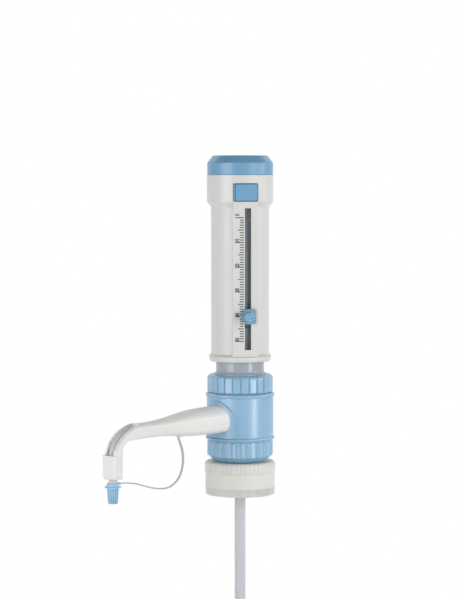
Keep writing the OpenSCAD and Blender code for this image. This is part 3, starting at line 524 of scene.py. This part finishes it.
# %% [markdown]
# ## Skins over rings
# A knob, a cap with ribs and a screw thread are all skins over a row of rings. Spinning a
# profile with a Screw modifier would make the round ones, but no ribs. One helper joins ring
# to ring, whatever their outline, and closes both ends. Another deals out points on a circle.

# %% Skin helpers


def skin(name, rings):
    """A closed mesh over rings of points in metres, all rings with the same number of points."""
    n, m = len(rings[0]), len(rings)
    faces = [[j * n + i, j * n + (i + 1) % n, (j + 1) * n + (i + 1) % n, (j + 1) * n + i]
             for j in range(m - 1) for i in range(n)]
    faces += [list(range(n))[::-1], [(m - 1) * n + i for i in range(n)]]
    mesh = bpy.data.meshes.new(name)
    mesh.from_pydata([tuple(p) for r in rings for p in r], [], faces)
    work = bmesh.new()
    work.from_mesh(mesh)
    bmesh.ops.recalc_face_normals(work, faces=work.faces)
    work.to_mesh(mesh)
    work.free()
    return mesh


def circle(count):
    """Angles of count points round a circle."""
    return [2 * math.pi * i / count for i in range(count)]


print("helpers: skin, circle")

# %% [markdown]
# ## From a mesh to a piece
# A mesh becomes a piece once it has a material and belongs to a body that moves. Shading it
# smooth all over would smear its corners, and flat shading would show each facet. So only the
# edges that turn by more than an angle stay sharp.

# %% Piece helper
CORNER = math.radians(38)


def add_piece(name, mesh, material, body, slot, *replaced, smooth=True):
    """The mesh as a visible piece that rides on a body, in place of the replaced nodes."""
    mesh.materials.clear()
    mesh.materials.append(materials[material])
    if smooth:
        mesh.shade_smooth()
        mesh.set_sharp_from_angle(angle=CORNER)
    piece = bpy.data.objects.new(name, mesh)
    bpy.context.scene.collection.objects.link(piece)
    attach(piece, body)
    if replaced:
        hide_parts(*replaced)


print("helper: add_piece")

# %% [markdown]
# ## A frame on the front panel
# The scale, the pointer and the knob all sit on the flat panel, which is turned away from the
# arm. It is easier to place them in the panel's own directions: across it, out of it and up.

# %% Panel frame
PANEL_TURN = math.radians(53.5 - 90)
SLOT_SHIFT = 2.0
POINTER_Z = 119.76
across = Vector((math.cos(PANEL_TURN), math.sin(PANEL_TURN), 0))
outward = Vector((math.sin(PANEL_TURN), -math.cos(PANEL_TURN), 0))
up = Vector((0, 0, 1))


def on_panel(t, p, z):
    """A point at t across the panel, p out from the axis and z high, all in millimetres."""
    return (across * t + outward * p) / 1000 + up * z / 1000


print("panel faces", [round(v, 3) for v in outward])

# %% [markdown]
# ## The clamping knob
# Two fingers turn it, so its rim has ten shallow scallops, and its dished face a star of ten
# hollows. Rings of 120 points follow the profile, and a cosine sinks the scallops. A bevelled
# cylinder would be quicker, but its rim would slip in the eye as it would in the hand.

# %% Knob
KNOB_BACK = 26.85
KNOB_SCALLOPS = 10
SCALLOP_DEPTH = 0.42
# distance out, radius, share of the scallop's depth, depth of the star
KNOB_PROFILE = [(0, 3.3, 0, 0), (0.15, 3.75, 0.4, 0), (0.6, 3.95, 1, 0), (6.4, 3.95, 1, 0),
                (7.1, 3.8, 1, 0), (7.6, 3.55, 0.9, 0.05), (7.95, 3.2, 0.7, 0.15),
                (8.15, 2.7, 0.4, 0.4), (8.1, 2.2, 0.2, 0.55), (7.95, 1.7, 0, 0.45),
                (7.8, 1.2, 0, 0.2), (7.5, 0.95, 0, 0), (7.45, 0.02, 0, 0)]
rings = []
for out, radius, sunk, star in KNOB_PROFILE:
    ring = []
    for a in circle(120):
        hollow = (0.5 + 0.5 * math.cos(KNOB_SCALLOPS * a)) ** 1.5
        r = radius - sunk * SCALLOP_DEPTH * hollow
        ring.append(on_panel(SLOT_SHIFT + r * math.cos(a), KNOB_BACK + out - star * hollow,
                             POINTER_Z + r * math.sin(a)))
    rings.append(ring)
add_piece("pointer_knob_fine", skin("pointer_knob_fine", rings), "knob_blue", "knob",
          "pointer_knob", "pointer_knob")
print("knob with", KNOB_SCALLOPS, "scallops")

# %% [markdown]
# ## Flat plates with rounded edges
# The pointer and the calibration cover are plates. A cube with a Boolean for each hole needs
# some clean-up before its edges can be rounded. A flat curve, filled, thickened and bevelled,
# makes a plate with holes and with all its edges round, from its outline alone. Its mesh is
# then turned to lie on the panel.

# %% Plate helper
to_panel = Matrix((across, up, outward)).transposed().to_4x4()


def plate(name, loops, thick, edge, centre):
    """A mesh on the panel from closed loops in millimetres, with the given round edge."""
    curve = bpy.data.curves.new(name, "CURVE")
    curve.dimensions = "2D"
    curve.fill_mode = "BOTH"
    curve.extrude = (thick / 2 - edge) / 1000
    curve.bevel_depth = edge / 1000
    curve.bevel_resolution = 4
    for loop in loops:
        line = curve.splines.new("POLY")
        line.points.add(len(loop) - 1)
        for point, (x, y) in zip(line.points, loop):
            point.co = (x / 1000, y / 1000, 0, 1)
        line.use_cyclic_u = True
    shape = bpy.data.objects.new(name + "_shape", curve)
    bpy.context.scene.collection.objects.link(shape)
    bpy.context.view_layer.update()
    mesh = bpy.data.meshes.new_from_object(shape)
    bpy.data.objects.remove(shape)
    mesh.transform(Matrix.Translation(centre) @ to_panel)
    return mesh


print("helper: plate")

# %% [markdown]
# ## The pointer plate
# The plate points at the scale with a blunt arrow, and the knob's screw passes through it. It
# is slightly see-through, so the dark slot shades it. Half of its outline is a list of corners,
# and the other half is their mirror image, so that the arrow can't come out lopsided.

# %% Pointer plate
PLATE_BACK = 23.87
PLATE_THICK = 2.88
PLATE_EDGE = 0.45
PLATE_HALF = 5.85 - PLATE_EDGE
PLATE_TAIL = 5.8 - PLATE_EDGE
SCREW_HOLE = 1.95
outline = [(-5.75, 0), (-2.5, PLATE_HALF - 0.5), (-1.7, PLATE_HALF),
           (PLATE_TAIL - 1.3, PLATE_HALF), (PLATE_TAIL - 0.4, PLATE_HALF - 0.4),
           (PLATE_TAIL, PLATE_HALF - 1.3)]
outline += [(x, -y) for x, y in outline[:0:-1]]
hole = [(SCREW_HOLE * math.cos(a), SCREW_HOLE * math.sin(a)) for a in circle(40)]
pointer = plate("pointer_plate_fine", [outline, hole], PLATE_THICK, PLATE_EDGE,
                on_panel(SLOT_SHIFT, PLATE_BACK + PLATE_THICK / 2, POINTER_Z))
print("pointer plate of", PLATE_THICK, "mm")

# %% [markdown]
# ## The pointer's neck
# A short block behind the plate reaches into the slot and keeps the arrow upright. It is a
# plain cube, added to the same mesh, because no eye gets near enough to tell more of it.

# %% Pointer neck
NECK_WIDE = 4.4
NECK_DEEP = 2.9
NECK_TALL = 6.0
NECK_MIDDLE = 22.5
work = bmesh.new()
work.from_mesh(pointer)
for v in bmesh.ops.create_cube(work, size=1)["verts"]:
    v.co = on_panel(SLOT_SHIFT + v.co.x * NECK_WIDE, NECK_MIDDLE + v.co.y * NECK_DEEP,
                    POINTER_Z + v.co.z * NECK_TALL)
bmesh.ops.recalc_face_normals(work, faces=work.faces)
work.to_mesh(pointer)
work.free()
add_piece("pointer_plate_fine", pointer, "pointer_blue", "pointer", "pointer_plate",
          "pointer_plate")
print("plate and neck with", len(pointer.polygons), "faces")

# %% [markdown]
# ## The closure cap
# A soft cap slips over the tube's tip. Fingers grip its fine upright ribs and a brim stops
# them. Ribs in a bump texture would vanish from its outline, so they are in the mesh: a squared
# cosine sinks the grooves. The skin runs up the outside, over the brim and down into the
# socket, so that the tip can slide out of it.

# %% Closure cap
ARM_REACH = 135.3
CAP_TOP = 2.0
CAP_LOW = -12.9
CAP_RIBS = 14
RIB_DEPTH = 0.6
# height, radius, share of the ribs' depth
CAP_PROFILE = [(CAP_LOW, 0.02, 0), (CAP_LOW, 2.6, 0), (CAP_LOW + 0.1, 3.1, 0.4),
               (CAP_LOW + 0.5, 3.55, 1), (CAP_LOW + 1.2, 3.75, 1), (-2.2, 4.42, 1),
               (-1.7, 4.45, 0.2), (-1.45, 4.7, 0), (-1.15, 5.7, 0), (-1.0, 6.05, 0),
               (-0.75, 6.2, 0), (-0.4, 6.15, 0), (-0.2, 5.9, 0), (0.0, 5.2, 0), (0.15, 4.9, 0),
               (0.5, 4.8, 0), (1.6, 4.75, 0), (1.9, 4.65, 0), (CAP_TOP, 4.4, 0),
               (CAP_TOP, 3.3, 0), (1.8, 2.95, 0), (-7.5, 2.88, 0), (-7.6, 0.02, 0)]
rings = []
for z, radius, ribbed in CAP_PROFILE:
    ring = []
    for a in circle(168):
        r = radius - ribbed * RIB_DEPTH * max(0.0, math.cos(CAP_RIBS * a)) ** 2
        ring.append(((r * math.cos(a) - ARM_REACH) / 1000, r * math.sin(a) / 1000, z / 1000))
    rings.append(ring)
closure = skin("closure_cap_fine", rings)
print("closure cap with", CAP_RIBS, "ribs")

# %% [markdown]
# ## The ear of the closure cap
# The strap leaves the cap from a small block at its side. A cube with bevelled edges is true to
# it, since a mould forms it as just that, and most of it is sunk in the cap's wall.

# %% Cap ear
EAR_CENTRE = Vector((-129.3, 0, 1.4)) / 1000
EAR_SIZE = (0.0030, 0.0024, 0.0017)
work = bmesh.new()
work.from_mesh(closure)
ear = bmesh.ops.create_cube(work, size=1)["verts"]
ear_edges = {e for v in ear for e in v.link_edges}
for v in ear:
    v.co = EAR_CENTRE + Vector([c * size for c, size in zip(v.co, EAR_SIZE)])
bmesh.ops.bevel(work, geom=list(ear_edges), offset=0.0004, segments=3, affect="EDGES")
work.to_mesh(closure)
work.free()
add_piece("closure_cap_fine", closure, "closure_blue", "closure", "closure_cap", "closure_cap")
print("ear at", [round(v * 1000, 1) for v in EAR_CENTRE], "mm")

# %% [markdown]
# ## The path of the lip round the trough
# The discharge tube comes out of the arm's wall into an open trough. A raised lip frames the
# mouth, as a mould leaves round a hole that runs out on a slope. Rays cast down on the arm give
# the height of its wall, so that the lip lies on it like a bead.

# %% Lip path
TROUGH_END = -114.8
LIP_RADIUS = 3.95
arm_tree = BVHTree.FromObject(nodes["arm"], bpy.context.evaluated_depsgraph_get())
arm_place = nodes["arm"].matrix_world


def arm_height(x, y):
    """Height in metres of the arm's wall at x and y in millimetres."""
    start = arm_place.inverted() @ Vector((x / 1000, y / 1000, 0.1))
    return (arm_place @ arm_tree.ray_cast(start, Vector((0, 0, -1)))[0]).z


side_run = [(TROUGH_END - run, LIP_RADIUS) for run in (5.0, 3.8, 2.6, 1.3)]
end_turn = [(TROUGH_END + LIP_RADIUS * math.cos(a), LIP_RADIUS * math.sin(a))
            for a in [math.radians(90 - 7.5 * i) for i in range(25)]]
lip_flat = side_run + end_turn + [(x, -y) for x, y in side_run[::-1]]
lip_line = [Vector((x / 1000, y / 1000, arm_height(x, y))) for x, y in lip_flat]
print("lip path of", len(lip_line), "points, at", round(lip_line[16].z * 1000, 2), "mm high")

# %% [markdown]
# ## The lip
# A round bead is swept along the path. It thins out over the last five points at both ends, so
# that it melts into the arm.

# %% Lip
LIP_THICK = 0.00062
LIP_FADE = 5
rings = []
for i, point in enumerate(lip_line):
    ahead = lip_line[min(i + 1, len(lip_line) - 1)] - lip_line[max(i - 1, 0)]
    ahead.normalize()
    side = ahead.cross(up).normalized()
    from_end = min(i, len(lip_line) - 1 - i) + 0.4
    thick = LIP_THICK * min(1.0, from_end / LIP_FADE)
    rings.append([point + thick * (side * math.cos(b) + side.cross(ahead) * math.sin(b))
                  for b in circle(12)])
add_piece("arm_trough_lip", skin("arm_trough_lip", rings), "arm_white", "block", "arm")
print("lip of", LIP_THICK * 2000, "mm")

# %% [markdown]
# ## The face of the calibration cover
# The cover snaps into the head by a narrow strip at its left, and the rest of it is a raised pad
# with rounded corners that a finger finds. A gap in shade parts the two, and that shade is
# painted.
# Two plates give them: a thin dark one that holds the painted shade of the gap, and the pad a
# little smaller on top of it.

# %% Cover face
COVER_OUT = 24.15
cover_box = nodes["calibration_cover"].bound_box
COVER_Z = (cover_box[0][2] + cover_box[6][2]) / 2 * 1000


def cover_pad(name, left, right, half, corner, thick, edge, out, material):
    """A plate with round corners on the cover, its middle out millimetres from the axis."""
    loop = []
    for k, (x, y) in enumerate([(left, -half), (right, -half), (right, half), (left, half)]):
        cx, cy = x - math.copysign(corner, x), y - math.copysign(corner, y)
        loop += [(cx + corner * math.cos(a), cy + corner * math.sin(a))
                 for a in [math.radians(180 + 90 * k + 15 * i) for i in range(7)]]
    mesh = plate(name, [loop], thick, edge, on_panel(0, out, COVER_Z))
    add_piece(name, mesh, material, "housing", "calibration_cover")


# painted shade: this dark plate stands for the shadow in the gap beside the pad
cover_pad("cover_gap_shade", -8.35, 9.3, 6.55, 1.1, 0.2, 0.05, COVER_OUT, "painted_gap_shade")
cover_pad("cover_face", -7.5, 8.85, 5.95, 0.9, 0.9, 0.3, COVER_OUT - 0.1, "cap_blue")
print("cover face at", round(COVER_Z, 2), "mm")

# %% [markdown]
# ## The thread in the bottle nut
# A 45 mm reagent bottle thread is one slow helix of 4 mm pitch, and it shows only from below. A
# Screw modifier could wind it, but it would cut both ends off square. So a blunt ridge is swept
# along the helix by a loop, and thins out at both ends.

# %% Thread
THREAD_PITCH = 4.0
THREAD_ROOT = 22.7
THREAD_HIGH = 0.7
THREAD_LOW_Z = -17.4
THREAD_TURNS = 3.6
THREAD_STEPS = 260
THREAD_FADE = 20
RIDGE = [(0, -1.1), (THREAD_HIGH, -0.35), (THREAD_HIGH, 0.35), (0, 1.1)]
rings = []
for i in range(THREAD_STEPS + 1):
    turn = THREAD_TURNS * i / THREAD_STEPS
    a = 2 * math.pi * turn
    z = THREAD_LOW_Z + THREAD_PITCH * turn
    grow = min(1, i / THREAD_FADE, (THREAD_STEPS - i) / THREAD_FADE) + 0.02
    rings.append([((THREAD_ROOT - rise * grow) * math.cos(a) / 1000,
                   (THREAD_ROOT - rise * grow) * math.sin(a) / 1000, (z + dz) / 1000)
                  for rise, dz in RIDGE])
add_piece("nut_thread", skin("nut_thread", rings), "nut_ivory", "nut", "bottle_nut")
print("thread of", THREAD_TURNS, "turns")

# %% [markdown]
# ## The graduations
# Fifty-one marks stand left of the slot. Their pitch isn't a matter of taste: when the plunger
# moves by one mark, a cylinder of this bore has to draw in one millilitre. So the pitch is
# worked out from the bore, and not measured.

# %% Pitch of the marks
ZERO_Z = 195.1
CAPACITY = 50
BORE_RADIUS = 13
MARK_PITCH = 1000 / (math.pi * BORE_RADIUS ** 2)
print("one millilitre is", round(MARK_PITCH, 3), "mm")

# %% [markdown]
# ## The marks
# Every fifth mark is longer, and every tenth is longest. An image of the scale would blur in a
# close view. Real ink lies a few hundredths of a millimetre proud, so each mark is a thin plate
# on the panel, and all of them are one mesh.

# %% Marks
MARK_RIGHT = -1.39
LONG_LEFT, MIDDLE_LEFT, SHORT_LEFT = -7.88, -5.72, -4.32
MARK_HALF = 0.37
INK_BACK, INK_FRONT = 23.63, 23.68
BLOCK_FACES = ((0, 1, 3, 2), (4, 6, 7, 5), (0, 4, 5, 1), (2, 3, 7, 6), (0, 2, 6, 4),
               (1, 5, 7, 3))


def mark_left(ml):
    """How far left a mark reaches from the panel's middle, in millimetres."""
    return LONG_LEFT if ml % 10 == 0 else MIDDLE_LEFT if ml % 5 == 0 else SHORT_LEFT


verts, faces = [], []
for ml in range(CAPACITY + 1):
    z = ZERO_Z - ml * MARK_PITCH
    faces += [[len(verts) + i for i in face] for face in BLOCK_FACES]
    verts += [on_panel(t, p, h) for h in (z - MARK_HALF, z + MARK_HALF)
              for p in (INK_BACK, INK_FRONT) for t in (mark_left(ml), MARK_RIGHT)]
marks = bpy.data.meshes.new("scale_marks")
marks.from_pydata([tuple(v) for v in verts], [], faces)
add_piece("scale_marks", marks, "ink", "housing", "piston_housing", smooth=False)
print("marks:", CAPACITY + 1)

# %% [markdown]
# ## The numerals
# Plain numbers stand on end beside the tens, to be read with the head tilted, as the narrow
# panel asks for. A text curve is the way to real letter shapes. The built-in font is narrowed
# and made a little bolder, given the ink's thickness, and turned into a mesh.

# %% Numerals
NUMBER_SIZE = 0.0044
NUMBER_BOLD = 0.00018
NUMBER_NARROW = 0.58
NUMBER_RIGHT = -4.9
NUMBER_ABOVE = 2.8
on_end = Matrix((up, -across, outward)).transposed().to_4x4()
numerals = []
for ml in range(0, CAPACITY + 1, 10):
    text = bpy.data.curves.new("numeral", "FONT")
    text.body = str(ml)
    text.size = NUMBER_SIZE
    text.extrude = (INK_FRONT - INK_BACK) / 2000
    text.offset = NUMBER_BOLD
    text.align_x = "RIGHT"
    numeral = bpy.data.objects.new("numeral", text)
    bpy.context.scene.collection.objects.link(numeral)
    foot = on_panel(NUMBER_RIGHT, (INK_BACK + INK_FRONT) / 2,
                    ZERO_Z - ml * MARK_PITCH + NUMBER_ABOVE)
    numeral.matrix_world = (Matrix.Translation(foot) @ on_end
                            @ Matrix.Diagonal((NUMBER_NARROW, 1, 1, 1)))
    numerals.append(numeral)
print("numerals:", [numeral.data.body for numeral in numerals])

# %% [markdown]
# ## One print of all numerals
# The six texts become meshes and are joined, so that the print is one piece that rides with
# the housing.

# %% Print
bpy.context.view_layer.update()
bpy.ops.object.select_all(action="DESELECT")
for numeral in numerals:
    numeral.select_set(True)
bpy.context.view_layer.objects.active = numerals[0]
bpy.ops.object.convert(target="MESH")
bpy.ops.object.join()
printed = bpy.context.view_layer.objects.active
printed.name = "scale_numerals"
printed.data.materials.clear()
printed.data.materials.append(materials["ink"])
printed.select_set(False)
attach(printed, "housing")
print("print of", len(printed.data.polygons), "faces")

# %% [markdown]
# ## The floor
# The dispenser stands free over a plain floor that takes its shadow. A plane from the Add menu
# would do, but its corners could come into view. So this is a disc of 64 points, wide enough for
# its rim to be out of sight, one millimetre below the filling tube.

# %% Floor
FLOOR_Z = frame_box[0][2] - 0.001
FLOOR_RADIUS = 6
floor_mesh = bpy.data.meshes.new("floor")
floor_mesh.from_pydata([(FLOOR_RADIUS * math.cos(a), FLOOR_RADIUS * math.sin(a), FLOOR_Z)
                        for a in circle(64)], [], [list(range(64))])
floor = bpy.data.objects.new("floor", floor_mesh)
bpy.context.scene.collection.objects.link(floor)
floor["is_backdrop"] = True
print("floor at", round(FLOOR_Z, 4))

# %% [markdown]
# ## Which rays see the backdrop
# Floor and dome should both look plain white to the camera, and in whatever mirrors or shows
# them, and yet light the object softly. Two scenes could be laid over each other for that. The
# Light Path node does it in one, since it tells these rays from all others.

# %% Backdrop rays


def backdrop_ray(tree):
    """One for the rays that should see a white backdrop: direct, and off or through a surface."""
    path = tree.nodes.new("ShaderNodeLightPath")
    seen = math_node(tree, "MAXIMUM", path.outputs["Is Camera Ray"],
                     path.outputs["Is Glossy Ray"])
    return math_node(tree, "MAXIMUM", seen, path.outputs["Is Transmission Ray"])


def smooth_range(tree, value, from_min, from_max, to_min, to_max):
    """The value taken from one range to another, with a soft start and a soft end."""
    node = tree.nodes.new("ShaderNodeMapRange")
    node.interpolation_type = "SMOOTHSTEP"
    for socket, number in (("From Min", from_min), ("From Max", from_max), ("To Min", to_min),
                           ("To Max", to_max)):
        node.inputs[socket].default_value = number
    tree.links.new(value, node.inputs["Value"])
    return node.outputs["Result"]


print("helpers: backdrop_ray, smooth_range")

# %% [markdown]
# ## The floor's finish
# Away from the object the floor turns into a plain white glow for those rays, and near it the
# glow is weaker, which leaves room for the shadow. All other light meets a matt pale floor. A
# shadow catcher could do it too, but it needs a white layer put behind the render afterwards.

# %% Floor finish
GLOW_FROM, GLOW_TO = 0.05, 0.5
GLOW_NEAR = 0.72
floor_mat = bpy.data.materials.new("floor_white")
floor_mat.use_nodes = True
tree = floor_mat.node_tree
shader = tree.nodes["Principled BSDF"]
shader.inputs["Base Color"].default_value = (0.9, 0.9, 0.9, 1)
shader.inputs["Roughness"].default_value = 0.9
glow = tree.nodes.new("ShaderNodeEmission")
glow.inputs["Color"].default_value = (1, 1, 1, 1)
length = tree.nodes.new("ShaderNodeVectorMath")
length.operation = "LENGTH"
tree.links.new(tree.nodes.new("ShaderNodeTexCoord").outputs["Object"], length.inputs[0])
white = smooth_range(tree, length.outputs["Value"], GLOW_FROM, GLOW_TO, GLOW_NEAR, 1.0)
mix = tree.nodes.new("ShaderNodeMixShader")
tree.links.new(math_node(tree, "MULTIPLY", white, backdrop_ray(tree)), mix.inputs["Fac"])
tree.links.new(shader.outputs[0], mix.inputs[1])
tree.links.new(glow.outputs[0], mix.inputs[2])
tree.links.new(mix.outputs[0], tree.nodes["Material Output"].inputs["Surface"])
floor_mesh.materials.append(floor_mat)
print("floor glows from", GLOW_NEAR, "at its middle to 1 at", GLOW_TO, "m")

# %% [markdown]
# ## The dome
# Pale plastic needs an even surround. A sky texture would tint the whites and show up in the
# gloss. So the world is a grey dome, brighter at the horizon and at the very top than between
# them: upright walls and top faces each find something pale to mirror, while the slopes keep
# their depth.

# %% Dome
DOME_STRENGTH = 0.9
DOME = [(0.0, 0.30), (0.02, 0.30), (0.3, 0.18), (0.6, 0.06), (0.85, 0.08), (1.0, 0.25)]
world = bpy.data.worlds.new("studio")
bpy.context.scene.world = world
world.use_nodes = True
sky = world.node_tree
sky.nodes.clear()
split = sky.nodes.new("ShaderNodeSeparateXYZ")
sky.links.new(sky.nodes.new("ShaderNodeTexCoord").outputs["Generated"], split.inputs[0])
ramp = sky.nodes.new("ShaderNodeValToRGB")
for position, value in DOME[1:-1]:
    ramp.color_ramp.elements.new(position)
for element, (position, value) in zip(ramp.color_ramp.elements, DOME):
    element.position = position
    element.color = (value, value, value * 1.02, 1)
sky.links.new(split.outputs["Z"], ramp.inputs["Fac"])
dome = sky.nodes.new("ShaderNodeBackground")
sky.links.new(ramp.outputs["Color"], dome.inputs["Color"])
dome.inputs["Strength"].default_value = DOME_STRENGTH
print("dome of", len(DOME), "steps")

# %% [markdown]
# ## The white backdrop
# The camera sees plain white behind the object. A large white wall would give that too, but it
# would stand in the way of the lights. So the world itself turns white: for the camera
# everywhere, and for mirroring and clear pieces up to some height, as with a paper sweep behind
# them. Above it they see the dome.

# %% Backdrop
SWEEP_TOP = (0.45, 0.75)
white = sky.nodes.new("ShaderNodeBackground")
white.inputs["Color"].default_value = (1, 1, 1, 1)
white.inputs["Strength"].default_value = 1.0
sweep = smooth_range(sky, split.outputs["Z"], *SWEEP_TOP, 1.0, 0.0)
mirrored = math_node(sky, "MULTIPLY", backdrop_ray(sky), sweep)
camera_ray = sky.nodes.new("ShaderNodeLightPath").outputs["Is Camera Ray"]
mix = sky.nodes.new("ShaderNodeMixShader")
sky.links.new(math_node(sky, "MAXIMUM", mirrored, camera_ray), mix.inputs["Fac"])
sky.links.new(dome.outputs[0], mix.inputs[1])
sky.links.new(white.outputs[0], mix.inputs[2])
sky.links.new(mix.outputs[0], sky.nodes.new("ShaderNodeOutputWorld").inputs["Surface"])
bpy.context.scene.view_settings.view_transform = "Standard"
print("white backdrop up to", SWEEP_TOP)

# %% [markdown]
# ## The lights
# Two large soft boxes in front give the form. A narrow strip on each side draws a bright line
# down the housing and the blue block, and a low one lights the collars from under the arm. Two
# high boxes behind lift the shoulders off the white. Area lights are used and no point lamps,
# because glossy plastic mirrors their shape. Each row sets one of them: its turn from the
# camera in degrees, distance, height, width, tallness and power.

# %% Lights
AIM = Vector((0, 0, 0.1))
SOFT_BOXES = {
    "fill_right": (47, 1.6, 0.3, 0.9, 1.0, 6.7), "fill_left": (-42, 1.6, 0.3, 0.7, 1.0, 9.6),
    "strip_left": (-59, 1.3, 0.35, 0.2, 0.8, 3.0), "strip_right": (84, 1.3, 0.5, 0.2, 0.8, 5.4),
    "strip_low": (51, 1.2, -0.03, 0.10, 0.3, 1.5),
    "back_right": (155, 1.3, 1.2, 0.8, 0.5, 3.5), "back_left": (-155, 1.3, 1.2, 0.8, 0.5, 3.5)}
for name, (round_by, distance, height, width, tall, power) in SOFT_BOXES.items():
    light = bpy.data.lights.new(name, "AREA")
    light.shape = "RECTANGLE"
    light.size = width
    light.size_y = tall
    light.energy = power
    lamp = bpy.data.objects.new(name, light)
    a = CAMERA_TURN + math.radians(round_by)
    lamp.location = (math.sin(a) * distance, -math.cos(a) * distance, height)
    lamp.rotation_euler = (AIM - lamp.location).to_track_quat("-Z", "Y").to_euler()
    bpy.context.scene.collection.objects.link(lamp)
print("soft boxes:", len(SOFT_BOXES))

# %% [markdown]
# ## The sizes at the end
# The dressed model must not have outgrown the frame that it started from. Its box is printed
# here, and the frame's box was kept at the start.

# %% Sizes
low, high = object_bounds()
print("shown box", [round(v, 4) for v in low], [round(v, 4) for v in high])
